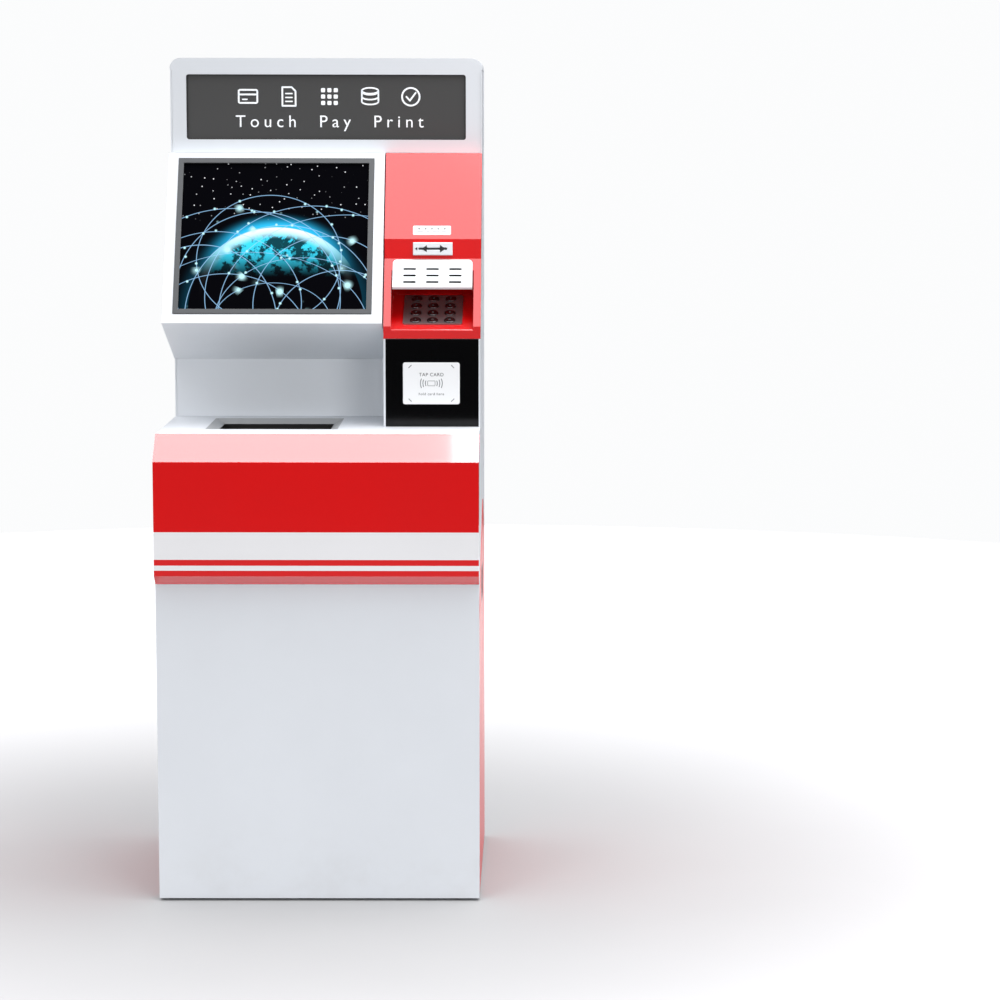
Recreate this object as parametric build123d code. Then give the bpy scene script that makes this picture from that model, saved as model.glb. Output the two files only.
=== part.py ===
from build123d import *
from math import atan2, cos, degrees, hypot, radians, sin, tan
import os

# Self-service kiosk terminal. Millimetres, +X to the user's right, +Y towards the back, +Z up.
# The origin is on the floor, under the middle of the cabinet.

# Overall sizes
WIDTH = 640.0
DEPTH = 550.0
HEIGHT = 1677.0
FLOOR_GAP = 5.0           # cabinet sheet metal above the floor

# Sheet and clearances
SHEET = 2.0               # folded steel sheet
SIDE_SHEET = 3.2          # side panels
GRAPHIC = 0.8             # laminated side graphic
SHELL = 3.0               # moulded fascias
FIT_GAP = 0.3             # between fixed pieces
DOOR_GAP = 1.0            # between a door and what it closes on
RUNNING = 0.05            # radial clearance of a pin that turns
SLIDING = 0.4             # radial clearance of a piece that slides

# Lower cabinet
NOSE_DEPTH = 50.0         # door seam behind the tip of the nose
DOOR_SETBACK = 20.0       # door face behind the tip of the nose
NOSE_CHAMFER = 50.4
NOSE_HEIGHT = 226.5
NOSE_UNDERCUT = 19.2
HINGE_RADIUS = 4.0
PIN_RADIUS = 2.0
KNUCKLE_LENGTH = 60.0
SILL_HEIGHT = 78.0
REAR_DOOR = 4.0
RING_WIDTH = 25.0

# Console, from the ledge up
CONSOLE_HEIGHT = 547.0
HEADER_HEIGHT = 193.0
HEADER_SETBACK = 353.5
SLOPE_SETBACK = 323.0
RISER_SETBACK = 372.6
COLUMN_SETBACK = 180.6
SLOPE_ANGLE = 25.0        # console face, from the vertical
SLOPE_LENGTH = 372.0
RISER_HEIGHT = 120.6
COLUMN_WIDTH = 195.8
COLUMN_SEAM = 2.2         # dark joint between the screen housing and the column
ROOF_RADIUS = 22.0
SIGN_MARGIN = 33.5
SIGN_RECESS = 5.5
SIGN_BORDER = 26.5
SIGN_CORNER = 5.0
SIGN_LIP = 6.0            # sign behind the edge of its opening
LAMP_SIZE = (520.0, 22.0, 18.0)

# Screen
BEZEL_SIDE = 21.4
BEZEL_TOP = 12.0
BEZEL_HEIGHT = 340.3
BEZEL_BAND = 10.5
GLASS = 3.0
DISPLAY_DEPTH = 26.0

# Column
UPPER_FACE = 189.0        # down the slope to the card reader facet
FACET_HEIGHT = 39.7
FACET_LEAN = 3.6
LOWER_FACE = 146.5
PANEL_HEIGHT = 177.7      # black reader panel above the ledge
SHOULDER_HEIGHT = 541.4   # where the side panel's slope meets the header
CARD_WIDTH = 80.0
CARD_HEIGHT = 26.0
CARD_SLOT = 58.0
CARD_GAP = 3.2
CARD_MOUTH = (56.0, 6.4)   # slot where it opens at the front of the bezel
CARD_RISE = 6.0           # bezel above the facet
HOOD_WIDTH = 161.0
HOOD_LENGTH = 68.4
HOOD_THICK = 7.6
HOOD_ROOT = 29.2          # where the hood meets the slope, seen from the side
HOOD_CORNER = 9.0
SLOT_SIZE = (25.6, 4.8)
SLOT_PITCH = (46.2, 16.0)
SLOT_START = 23.7
POCKET_RIM = 14.8
POCKET_ANGLE = 24.0       # key field, from the horizontal
POCKET_DEPTH = 156.0
PAD_WIDTH = 120.0
PAD_LENGTH = 122.0
PAD_START = 22.5
PAD_SHEET = 3.0
KEY_RADIUS = 11.0
KEY_GAP = 0.8             # round each key in the plate
KEY_EDGE = 1.8
KEY_PITCH_X = 34.5
KEY_PITCH_Y = 30.6
KEY_RISE = 2.0
KEY_TRAVEL = 2.0
STEM_RADIUS = 4.0
BASE_THICK = 16.0         # key switches under the plate

# Ledge and paper outlet
LEDGE_SHEET = 3.0
OUTLET_X = (-230.8, 34.0)
OUTLET_SETBACK = 133.1
OUTLET_LENGTH = 204.2
RIM_WIDTH = 19.5
RIM_DEPTH = 10.0
CHUTE_DEPTH = 120.0
ROLLER_RADIUS = 8.0
ROLLER_SHAFT = 3.0

# Side fittings, measured from the ledge down and from the nose back
HANDLE_SIZE = (104.5, 74.6)
HANDLE_PLACE = (302.0, 337.0)
HANDLE_DEPTH = 18.0
HANDLE_CORNER = 10.0
HATCH_SIZE = (76.1, 98.9)
HATCH_PLACE = (302.2, 476.0)
HATCH_KNUCKLE = 3.5
HATCH_PIN = 1.5
HATCH_GAP = 1.2           # round the hatch plate
LOCK_RADIUS = 4.5
SWITCH_DEPTH = 70.0       # back wall of the switch pocket, in from the side
SWITCH_HALF = (8.0, 13.0)
ROCKER_PIN = 1.5

# Door bolt, below the ledge and behind the seam
BOLT_RADIUS = 5.0
BOLT_PIN = 3.0
BOLT_TRAVEL = 12.0
BOLT_DROP = 450.0
BOLT_SETBACK = 12.0
BOLT_POST = 10.0
BOLT_PLAY = 2.0           # between the bolt's pin and the posts at each end of its travel

# Equipment
SHELF_DROP = 47.0         # shelf below the pull handles
SHELF_END = 200.0
COMPUTER_X = (-260.0, -20.0)
COMPUTER_HEIGHT = 80.0
SUPPLY_SIZE = (160.0, 140.0, 85.0)
SUPPLY_PLACE = (160.0, 115.0)      # X, and distance in from the back
INLET_PLACE = (-200.0, 41.0)
INLET_SIZE = (48.0, 30.0)
INLET_DEPTH = 30.0
LEAF = 1.5                # hinge leaves
BASE_HEIGHT = 50.0
FLOOR_BOLTS = (400.0, 300.0)
FLOOR_BOLT_HOLE = 6.0
CABLE_HOLE = 25.0
CABLE_PLACE = 110.0       # in from the back
FOOT_RADIUS = 24.0
STUD_RADIUS = 6.0
FAN_SIZE = 120.0
FAN_DEPTH = 25.0
FAN_DROP = 125.0          # middle of the fan below the roof
REAR_LOCK_RADIUS = 9.0

# Derived planes
half = WIDTH / 2
front_y = -DEPTH / 2
back_y = DEPTH / 2
ledge_z = HEIGHT - HEADER_HEIGHT - CONSOLE_HEIGHT
console_z = HEIGHT - HEADER_HEIGHT
seam_y = front_y + NOSE_DEPTH
door_y = front_y + DOOR_SETBACK
header_y = front_y + HEADER_SETBACK
slope_y = front_y + SLOPE_SETBACK
riser_y = front_y + RISER_SETBACK
column_y = front_y + COLUMN_SETBACK
rear_y = back_y - REAR_DOOR
panel_back_y = rear_y - FIT_GAP
ring_y = panel_back_y - SHEET
inner_half = half - GRAPHIC - SIDE_SHEET
fit_half = inner_half - FIT_GAP
roof_z = HEIGHT - ROOF_RADIUS - SHELL
column_x = half - COLUMN_WIDTH
housing_x = column_x - COLUMN_SEAM
column_mid = (column_x + half) / 2
slope = (sin(radians(SLOPE_ANGLE)), cos(radians(SLOPE_ANGLE)))
hinge_clear = HINGE_RADIUS + 1.5
hinge_x = -half + HINGE_RADIUS


def box(x, y, z):
    """Block between two corners, each axis given as (low, high)."""
    size = [b - a for a, b in (x, y, z)]
    mid = [(a + b) / 2 for a, b in (x, y, z)]
    return Pos(*mid) * Box(*size)


def prism(outline, x):
    """Outline of (y, z) points carried along X from x[0] to x[1]."""
    face = make_face(Polyline(*[(x[0], y, z) for y, z in outline], close=True))
    return extrude(face, amount=x[1] - x[0], dir=(1, 0, 0))


def rod(start, end, radius):
    """Round bar between two points."""
    start, end = Vector(*start), Vector(*end)
    plane = Plane(origin=start, z_dir=end - start)
    return plane * Cylinder(radius, (end - start).length, align=(Align.CENTER, Align.CENTER, Align.MIN))


def inset(outline, depths):
    """Move each edge of an outline inwards by its own depth; edge i starts at point i."""
    count = len(outline)
    area = sum(outline[i][0] * outline[(i + 1) % count][1] - outline[(i + 1) % count][0] * outline[i][1]
               for i in range(count))
    turn = 1 if area > 0 else -1
    lines = []
    for i, depth in enumerate(depths):
        (y0, z0), (y1, z1) = outline[i], outline[(i + 1) % count]
        length = hypot(y1 - y0, z1 - z0)
        dy, dz = (y1 - y0) / length, (z1 - z0) / length
        lines.append((y0 - turn * dz * depth, z0 + turn * dy * depth, dy, dz))
    points = []
    for i in range(count):
        ya, za, dya, dza = lines[i - 1]
        yb, zb, dyb, dzb = lines[i]
        along = ((yb - ya) * dzb - (zb - za) * dyb) / (dya * dzb - dza * dyb)
        points.append((ya + along * dya, za + along * dza))
    return points


def grow(span, margin):
    return (span[0] - margin, span[1] + margin)


def down_slope(start, length):
    """Point reached from start after length down the console slope."""
    return (start[0] - length * slope[0], start[1] - length * slope[1])


def save(name, shape):
    shape.label = name
    export_step(shape, f"parts/{name}.step")


def group(name, solids):
    save(name, Compound(children=list(solids)))


# Console outlines, as (y, z)
slope_top = (slope_y, console_z)
slope_foot = down_slope(slope_top, SLOPE_LENGTH)
facet_top = down_slope(slope_top, UPPER_FACE)
facet_foot = (facet_top[0] - FACET_LEAN, facet_top[1] - FACET_HEIGHT)
column_foot = down_slope(facet_foot, LOWER_FACE)
panel_top_z = ledge_z + PANEL_HEIGHT
shoulder_z = ledge_z + SHOULDER_HEIGHT
under_z = ledge_z + RISER_HEIGHT
console = Plane(origin=(0, *slope_top), x_dir=(1, 0, 0), z_dir=(0, -slope[1], slope[0]))
facet_mid = ((facet_top[0] + facet_foot[0]) / 2, (facet_top[1] + facet_foot[1]) / 2)
facet = Plane(origin=(column_mid, *facet_mid), x_dir=(1, 0, 0), z_dir=(0, -FACET_HEIGHT, FACET_LEAN))

# Key field: the floor of the pocket rises towards the back
pocket_front = (column_y - 0.2, ledge_z + 195.8)
rise = radians(POCKET_ANGLE)
key_field = Plane(origin=(column_mid, *pocket_front), x_dir=(1, 0, 0), z_dir=(0, -sin(rise), cos(rise)))
pocket_back = (pocket_front[0] + POCKET_DEPTH * cos(rise), pocket_front[1] + POCKET_DEPTH * sin(rise))
pocket_x = (column_x + POCKET_RIM, half - POCKET_RIM)

# Side fittings
handle_mid = (front_y + HANDLE_PLACE[0], ledge_z - HANDLE_PLACE[1])
hatch_mid = (front_y + HATCH_PLACE[0], ledge_z - HATCH_PLACE[1])
hatch_y = (hatch_mid[0] - HATCH_SIZE[0] / 2, hatch_mid[0] + HATCH_SIZE[0] / 2)
hatch_z = (hatch_mid[1] - HATCH_SIZE[1] / 2, hatch_mid[1] + HATCH_SIZE[1] / 2)
hatch_axis = (half - HATCH_KNUCKLE, hatch_y[1] - HATCH_KNUCKLE)
lock_place = (hatch_mid[0], hatch_z[1] - 12.8)
bolt_place = (seam_y + BOLT_SETBACK, ledge_z - BOLT_DROP)
bolt_keeper = fit_half - 12.0
bolt_posts = (fit_half - 62.0, fit_half - 62.0 + BOLT_POST + BOLT_TRAVEL + 2 * BOLT_PIN + 2 * BOLT_PLAY)

# Paper outlet
outlet_y = (front_y + OUTLET_SETBACK, front_y + OUTLET_SETBACK + OUTLET_LENGTH)
mouth_x = (OUTLET_X[0] + RIM_WIDTH, OUTLET_X[1] - RIM_WIDTH)
mouth_y = (outlet_y[0] + RIM_WIDTH, outlet_y[1] - RIM_WIDTH)
rim_foot_z = ledge_z - RIM_DEPTH
roller_place = (mouth_y[1] + SHEET + ROLLER_RADIUS + 2.0, rim_foot_z - CHUTE_DEPTH + 20.0)


# --- Sides, base and rear frame -------------------------------------------------------------

def side_outline(side):
    """Profile of a side panel; the left one is cut back to the riser and clears both hinges."""
    if side > 0:
        return [(seam_y + DOOR_GAP, FLOOR_GAP), (seam_y + DOOR_GAP, ledge_z), (column_y, ledge_z),
                (column_y, panel_top_z), (header_y, shoulder_z), (header_y, roof_z),
                (panel_back_y, roof_z), (panel_back_y, FLOOR_GAP)]
    front, back = seam_y + hinge_clear, rear_y - hinge_clear
    return [(front, FLOOR_GAP), (front, ledge_z), (riser_y, ledge_z), (riser_y, console_z),
            (header_y, console_z), (header_y, roof_z), (back, roof_z), (back, FLOOR_GAP)]


def side_span(side, low, high):
    """X range between two distances in from a side's outer face."""
    return tuple(sorted((side * (half - low), side * (half - high))))


def handle_hole(side, margin, low, high):
    """Rounded block at a pull handle, margin larger all round, between two depths."""
    x = side_span(side, low, high)
    y, z = handle_mid
    block = box(x, (y - HANDLE_SIZE[0] / 2 - margin, y + HANDLE_SIZE[0] / 2 + margin),
                (z - HANDLE_SIZE[1] / 2 - margin, z + HANDLE_SIZE[1] / 2 + margin))
    return fillet(block.edges().filter_by(Axis.X), HANDLE_CORNER + margin)


def hatch_opening(low, high):
    return box(side_span(1, low, high), (hatch_y[0], hatch_y[1] + HATCH_GAP), hatch_z)


def knuckle(bottom, top, place, radius, bore):
    return rod((*place, bottom), (*place, top), radius) - rod((*place, bottom - 1), (*place, top + 1), bore)


hatch_spans = [hatch_z[0] + 4.0 + i * 30.4 for i in range(4)]


def make_side_panels():
    for side, name in ((-1, "side_panel_left"), (1, "side_panel_right")):
        panel = prism(side_outline(side), side_span(side, GRAPHIC, GRAPHIC + SIDE_SHEET))
        panel -= handle_hole(side, -5.0, 0, 10)
        if side > 0:
            panel -= hatch_opening(0, 10)
            for i in (0, 2):
                low, high = hatch_spans[i], hatch_spans[i + 1] - 0.4
                panel += box((inner_half, half - GRAPHIC), (hatch_axis[1], hatch_y[1] + 2 * HATCH_GAP), (low, high))
                panel -= rod((*hatch_axis, low), (*hatch_axis, high), HATCH_KNUCKLE)
                panel += knuckle(low, high, hatch_axis, HATCH_KNUCKLE, HATCH_PIN)
            keeper = box((bolt_keeper, inner_half), grow((bolt_place[0],) * 2, BOLT_RADIUS + 4),
                         grow((bolt_place[1],) * 2, BOLT_RADIUS + 9))
            keeper -= rod((0, *bolt_place), (inner_half, *bolt_place), BOLT_RADIUS + 2 * SLIDING)
            panel += keeper
        save(name, panel)


def make_side_graphics():
    """Swept wave along the lower sides, laminated on the panels."""
    sheets = []
    for side in (-1, 1):
        x = side_span(side, 0, GRAPHIC)
        front = seam_y + (hinge_clear if side < 0 else DOOR_GAP)
        back = rear_y - hinge_clear if side < 0 else panel_back_y
        crest = back_y - 153.0

        def at(y, drop):
            return (x[0], y, ledge_z - drop)

        edge = Line(at(front, ledge_z - FLOOR_GAP), at(front, 400))
        edge += ThreePointArc(at(front, 400), at(seam_y + 47.5, 341), at(seam_y + 156, 260))
        edge += Line(at(seam_y + 156, 260), at(crest - 43, 184.5))
        edge += ThreePointArc(at(crest - 43, 184.5), at(crest, 176.3), at(crest + 34, 184))
        edge += Line(at(crest + 34, 184), at(back, 280))
        edge += Line(at(back, 280), at(back, ledge_z - FLOOR_GAP))
        edge += Line(at(back, ledge_z - FLOOR_GAP), at(front, ledge_z - FLOOR_GAP))
        sheet = extrude(make_face(edge), amount=GRAPHIC, dir=(1, 0, 0))
        sheet -= handle_hole(side, FIT_GAP, -1, 2)
        if side > 0:
            sheet -= hatch_opening(-1, 2)
        sheets.append(sheet)
    group("side_graphics", sheets)


foot_places = [(sx * (half - 60), y) for sx in (-1, 1) for y in (seam_y + 45, back_y - 55)]


def make_base():
    x = (-inner_half + LEAF + FIT_GAP, fit_half)
    y = (seam_y + hinge_clear, back_y - INLET_DEPTH - FIT_GAP)
    top = FLOOR_GAP + BASE_HEIGHT
    pan = box(x, y, (FLOOR_GAP, top))
    pan -= box(grow(x, -SHEET), grow(y, -SHEET), (FLOOR_GAP + SHEET, top + 1))
    holes = [(*place, STUD_RADIUS + FIT_GAP) for place in foot_places]
    holes += [(sx * FLOOR_BOLTS[0] / 2, sy * FLOOR_BOLTS[1] / 2, FLOOR_BOLT_HOLE) for sx in (-1, 1) for sy in (-1, 1)]
    holes.append((0, back_y - CABLE_PLACE, CABLE_HOLE))
    for hole_x, hole_y, radius in holes:
        pan -= rod((hole_x, hole_y, 0), (hole_x, hole_y, FLOOR_GAP + 2 * SHEET), radius)
    save("base_frame", pan)
    feet = []
    for place in foot_places:
        foot = rod((*place, 0), (*place, FLOOR_GAP), FOOT_RADIUS)
        foot += rod((*place, 0), (*place, 7 * STUD_RADIUS), STUD_RADIUS)
        nut = Pos(*place, FLOOR_GAP + SHEET) * extrude(RegularPolygon(STUD_RADIUS * 5 / 3, 6), STUD_RADIUS * 1.5)
        feet.append(foot + nut)
    group("levelling_feet", feet)


def make_rear_frame():
    """Ring that the rear door closes on, with the fixed sill that holds the mains inlet."""
    x = (hinge_x + hinge_clear, fit_half)
    ring = box(x, (ring_y, panel_back_y), (SILL_HEIGHT - 25, roof_z - FIT_GAP))
    ring -= box((x[0] + RING_WIDTH, x[1] - RING_WIDTH), (ring_y - 1, rear_y + 1),
                (SILL_HEIGHT + 2, roof_z - RING_WIDTH))
    sill = box((-half, half), (panel_back_y, back_y), (FLOOR_GAP, SILL_HEIGHT))
    sill = fillet(sill.edges().filter_by(Axis.Z).sort_by(Axis.Y)[-2:], 1.0)
    hole = box((INLET_PLACE[0] - INLET_SIZE[0] / 2, INLET_PLACE[0] + INLET_SIZE[0] / 2), (0, back_y + 1),
               (INLET_PLACE[1] - INLET_SIZE[1] / 2, INLET_PLACE[1] + INLET_SIZE[1] / 2))
    save("rear_frame", ring + sill - hole)


def make_power_inlet():
    x, z = INLET_PLACE
    w, h = INLET_SIZE[0] / 2 - FIT_GAP, INLET_SIZE[1] / 2 - FIT_GAP
    block = box((x - w, x + w), (back_y - INLET_DEPTH, back_y), (z - h, z + h))
    block -= box((x - 14, x + 14), (back_y - 18, back_y + 1), (z - 10.5, z + 10.5))
    for dx, dz in ((-8, -3), (0, -6), (8, -3)):
        block += box((x + dx - 1, x + dx + 1), (back_y - 19, back_y - 3), (z + dz - 2, z + dz + 2))
    save("power_inlet", block)


# --- Header ---------------------------------------------------------------------------------

def make_header():
    bottom = console_z + FIT_GAP
    outer = box((-half, half), (header_y, panel_back_y), (bottom, HEIGHT))
    outer = fillet(outer.edges().filter_by(Axis.Y).sort_by(Axis.Z)[-2:], ROOF_RADIUS)
    inner = box((-half + SHELL, half - SHELL), (header_y + SHELL, back_y), (bottom - 5, HEIGHT - SHELL))
    inner = fillet(inner.edges().filter_by(Axis.Y).sort_by(Axis.Z)[-2:], ROOF_RADIUS - SHELL)
    shell = outer - inner
    for side in (-1, 1):
        shell -= box(side_span(side, -1, GRAPHIC + SIDE_SHEET + FIT_GAP), (header_y - 1, back_y),
                     (bottom - 1, roof_z + FIT_GAP))
    opening = (half - SIGN_MARGIN, bottom + SIGN_BORDER, HEIGHT - SIGN_MARGIN)
    front, back = header_y + SHELL, header_y + SIGN_RECESS + SHELL
    window = box((-opening[0], opening[0]), (header_y - 1, header_y + SIGN_RECESS), opening[1:])
    window = fillet(window.edges().filter_by(Axis.Y), SIGN_CORNER)
    save("header_shell", shell - window)

    sign = box(grow((-opening[0], opening[0]), SIGN_LIP), (front, back), grow(opening[1:], SIGN_LIP))
    save("header_sign", sign - window)
    mid_z = (opening[1] + opening[2]) / 2
    lamp = Pos(0, back + LAMP_SIZE[1] / 2, mid_z) * Box(*LAMP_SIZE)
    save("header_lamp", lamp)


# --- Screen ---------------------------------------------------------------------------------

def on_console(x, s, depth):
    """Block on the console slope: x, distance down the slope, and height above the face."""
    return console * box(x, (-s[1], -s[0]), depth)


bezel_x = (-half + BEZEL_SIDE, housing_x - BEZEL_SIDE)
bezel_s = (BEZEL_TOP, BEZEL_TOP + BEZEL_HEIGHT)
lit_x = (bezel_x[0] + BEZEL_BAND, bezel_x[1] - BEZEL_BAND)
lit_s = (bezel_s[0] + BEZEL_BAND, bezel_s[1] - BEZEL_BAND)


def make_screen():
    outline = [(riser_y - FIT_GAP, console_z), slope_top, slope_foot, (riser_y - FIT_GAP, under_z)]
    shell = prism(outline, (-half, housing_x))
    shell -= prism(inset(outline, (SHELL, SHELL, SHELL, -5)), (-half + SHELL, housing_x - SHELL))
    shell -= on_console(grow(bezel_x, FIT_GAP), grow(bezel_s, FIT_GAP), (-10, 10))
    save("screen_housing", shell)

    bezel = on_console(bezel_x, bezel_s, (-SHELL, 1.5))
    bezel = chamfer(bezel.faces().sort_by(Axis.Y)[0].edges(), 1.2)
    bezel -= on_console(lit_x, lit_s, (-10, 10))
    save("screen_bezel", bezel)

    glass_top = -SHELL - FIT_GAP
    save("touch_glass", on_console(grow(lit_x, 6), grow(lit_s, 6), (glass_top - GLASS, glass_top)))
    module_top = glass_top - GLASS - FIT_GAP
    save("display_module", on_console(grow(lit_x, 5), grow(lit_s, 5), (module_top - DISPLAY_DEPTH, module_top)))


# --- Column: card reader, keypad and contactless reader ---------------------------------------

def pocket_cut():
    """Space of the keypad pocket, from its floor up to the hood, open at the front."""
    top = down_slope(facet_foot, 25.0)
    front = (pocket_front[0] - 30, pocket_front[1] - 30 * tan(rise))
    return prism([front, pocket_back, top, (front[0], top[1])], pocket_x)


def make_column():
    outline = [(header_y, console_z), slope_top, facet_top, facet_foot, column_foot,
               (column_y, panel_top_z + FIT_GAP), (header_y, shoulder_z + FIT_GAP)]
    shell = prism(outline, (column_x, half))
    shell -= prism(inset(outline, (SHELL, SHELL, SHELL, SHELL, SHELL, -5, SHELL)),
                   (column_x + SHELL, half - SHELL))
    shell -= pocket_cut()
    shell -= facet * Box(CARD_WIDTH - 10, CARD_HEIGHT - 8, 30)
    save("column_fascia", shell)


def make_card_reader():
    bezel = facet * Pos(0, 0, CARD_RISE / 2) * Box(CARD_WIDTH, CARD_HEIGHT, CARD_RISE)
    bezel = fillet(bezel.faces().sort_by(Axis.Y)[0].edges(), 2.0)
    bezel += facet * Pos(0, 0, -4) * Box(CARD_WIDTH - 11, CARD_HEIGHT - 9, 8)
    bezel -= facet * Box(CARD_SLOT, CARD_GAP, 40)
    mouth = loft([facet * Pos(0, 0, CARD_RISE / 3) * Rectangle(CARD_MOUTH[0], CARD_GAP),
                  facet * Pos(0, 0, CARD_RISE + 0.1) * Rectangle(*CARD_MOUTH)])
    save("card_bezel", bezel - mouth)
    length = min(105.0, ring_y - facet_mid[0] - 20)
    reader = facet * Pos(0, 0, -8 - FIT_GAP - length / 2) * Box(CARD_WIDTH - 8, 42, length)
    reader -= facet * Pos(0, 0, -30) * Box(CARD_SLOT - 1, CARD_GAP, 60)
    save("card_reader", reader)


def make_pocket():
    """Moulded tub behind the column's cut-out; its floor carries the key field."""
    wall = 2.5
    top = down_slope(facet_foot, 6.0)
    front_inner = (pocket_front[0] + SHELL, pocket_front[1] + SHELL * tan(rise))
    behind = (SHELL + FIT_GAP) / slope[1]
    outer = [(front_inner[0], front_inner[1] - wall / cos(rise)),
             (pocket_back[0] + wall, pocket_back[1] - wall / cos(rise) + wall * tan(rise)),
             (top[0] + behind, top[1]),
             (front_inner[0], column_foot[1] + (front_inner[0] - behind - column_foot[0]) / tan(radians(SLOPE_ANGLE)))]
    inner = inset(outer, (wall, wall, -5, -5))
    tub = prism(outer, (pocket_x[0] - wall, pocket_x[1] + wall)) - prism(inner, pocket_x)
    tub -= key_field * Pos(0, PAD_START + PAD_LENGTH / 2, 0) * Box(PAD_WIDTH - 8, PAD_LENGTH - 4, 12)
    for x, y in key_places:
        tub -= key_field * Pos(x, y, 0) * Cylinder(KEY_RADIUS + KEY_GAP, 12)
    save("keypad_pocket", tub)


hood_root = down_slope(facet_foot, 1.6)
hood_lean = radians(38.5)
hood_top = Plane(origin=(column_mid, *hood_root), x_dir=(1, 0, 0),
                 z_dir=(0, -cos(hood_lean), sin(hood_lean)))


def make_hood():
    """Slotted visor over the keys, standing out from the slope."""
    tip = (hood_root[0] - HOOD_LENGTH * sin(hood_lean), hood_root[1] - HOOD_LENGTH * cos(hood_lean))
    tip_inner = (tip[0] + HOOD_THICK * cos(hood_lean) * 0.98, tip[1] - HOOD_THICK * sin(hood_lean))
    hood = prism([hood_root, tip, tip_inner, down_slope(hood_root, HOOD_ROOT)],
                 (column_mid - HOOD_WIDTH / 2, column_mid + HOOD_WIDTH / 2))
    sheet = Box(HOOD_WIDTH + 1, HOOD_LENGTH, 80)
    rounded = Box(HOOD_WIDTH, HOOD_LENGTH, 80)
    rounded = fillet(rounded.edges().filter_by(Axis.Z).sort_by(Axis.Y)[-2:], HOOD_CORNER)
    hood -= hood_top * Pos(0, -HOOD_LENGTH / 2, 0) * (sheet - rounded)
    for column in (-1, 0, 1):
        for row in range(3):
            slot = Box(*SLOT_SIZE, 60)
            slot = fillet(slot.edges().filter_by(Axis.Z), SLOT_SIZE[1] * 0.4)
            hood -= hood_top * Pos(column * SLOT_PITCH[0], -SLOT_START - SLOT_PITCH[1] * row, 0) * slot
    save("keypad_hood", hood)


key_names = ["1", "2", "3", "4", "5", "6", "7", "8", "9", "star", "0", "hash"]
key_places = [((i % 3 - 1) * KEY_PITCH_X, PAD_START + PAD_LENGTH - 16.4 - (i // 3) * KEY_PITCH_Y)
              for i in range(12)]


def make_keypad():
    mid = PAD_START + PAD_LENGTH / 2
    plate = Pos(0, mid, PAD_SHEET / 2) * Box(PAD_WIDTH, PAD_LENGTH, PAD_SHEET)
    plate = fillet(plate.edges().filter_by(Axis.Z), 5.0)
    base_top = -PAD_SHEET - 1.0
    base = Pos(0, mid, base_top - BASE_THICK / 2) * Box(PAD_WIDTH - 9, PAD_LENGTH - 9, BASE_THICK)
    base += Pos(0, mid, base_top / 2) * (Box(PAD_WIDTH - 9, PAD_LENGTH - 9, -base_top)
                                         - Box(PAD_WIDTH - 14, PAD_LENGTH, 20))
    cap_foot = base_top + KEY_TRAVEL + 0.5
    cap_top = PAD_SHEET + KEY_RISE
    for name, (x, y) in zip(key_names, key_places):
        spot = Pos(x, y, 0)
        plate -= spot * Cylinder(KEY_RADIUS + KEY_GAP, 20)
        base -= spot * Cylinder(STEM_RADIUS + SLIDING, 60)
        shank = rod((0, 0, base_top - 9), (0, 0, cap_foot + 1), STEM_RADIUS)
        cap = rod((0, 0, cap_foot), (0, 0, cap_top), KEY_RADIUS)
        cap = fillet(cap.edges().sort_by(Axis.Z)[-1], KEY_EDGE)
        save(f"key_{name}", key_field * spot * (cap + shank))
    save("keypad_plate", key_field * plate)
    save("keypad_base", key_field * base)


def make_contactless_panel():
    x = (column_x + 4.0 + FIT_GAP, fit_half)
    panel = box(x, (column_y, column_y + 4), (ledge_z + FIT_GAP, panel_top_z - FIT_GAP))
    save("contactless_panel", chamfer(panel.faces().sort_by(Axis.Y)[0].edges(), 0.6))


def make_nook():
    """Walls of the open nook under the screen: its back and the column's left cheek."""
    lift = 34.0
    climb = lift * (header_y - column_y) / (shoulder_z - panel_top_z)
    cheek = prism([(column_y, ledge_z + FIT_GAP), (column_y, panel_top_z - FIT_GAP),
                   (column_y + climb + 1, panel_top_z + lift - 3), (riser_y, under_z + 22), (riser_y, ledge_z + FIT_GAP)],
                  (column_x, column_x + 4.0))
    save("nook_cheek", cheek)
    save("riser_panel", box((-fit_half, column_x + 4.0), (riser_y + FIT_GAP, riser_y + FIT_GAP + SHEET),
                            (ledge_z + FIT_GAP, under_z + 22)))


# --- Ledge, paper outlet and printer ------------------------------------------------------------

def make_ledge():
    front, back = seam_y + DOOR_GAP, riser_y + 25
    top = box((-fit_half, fit_half), (front, back), (ledge_z - LEDGE_SHEET, ledge_z))
    top += box((-fit_half + 3, fit_half - 3), (front, front + SHEET), (ledge_z - 30, ledge_z - 1))
    top -= box(grow(OUTLET_X, FIT_GAP), grow(outlet_y, FIT_GAP), (ledge_z - 10, ledge_z + 1))
    save("ledge_top", top)

    rim = box(OUTLET_X, outlet_y, (rim_foot_z, ledge_z))
    width, length = OUTLET_X[1] - OUTLET_X[0], outlet_y[1] - outlet_y[0]
    mid = (sum(OUTLET_X) / 2, sum(outlet_y) / 2)
    funnel = loft([Pos(*mid, ledge_z + 0.01) * Rectangle(width - 2.4, length - 2.4),
                   Pos(*mid, rim_foot_z - 0.01) * Rectangle(width - 2 * RIM_WIDTH, length - 2 * RIM_WIDTH)])
    save("outlet_rim", rim - funnel)

    chute_z = (rim_foot_z - CHUTE_DEPTH, rim_foot_z)
    chute = box(grow(mouth_x, SHEET), grow(mouth_y, SHEET), chute_z)
    chute -= box(mouth_x, mouth_y, (chute_z[0] + SHEET, chute_z[1] + 1))
    chute -= box(grow(mouth_x, -8), (mouth_y[1] - 1, mouth_y[1] + 10),
                 (roller_place[1] + 3, roller_place[1] + 15))
    save("paper_chute", chute)


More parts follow.
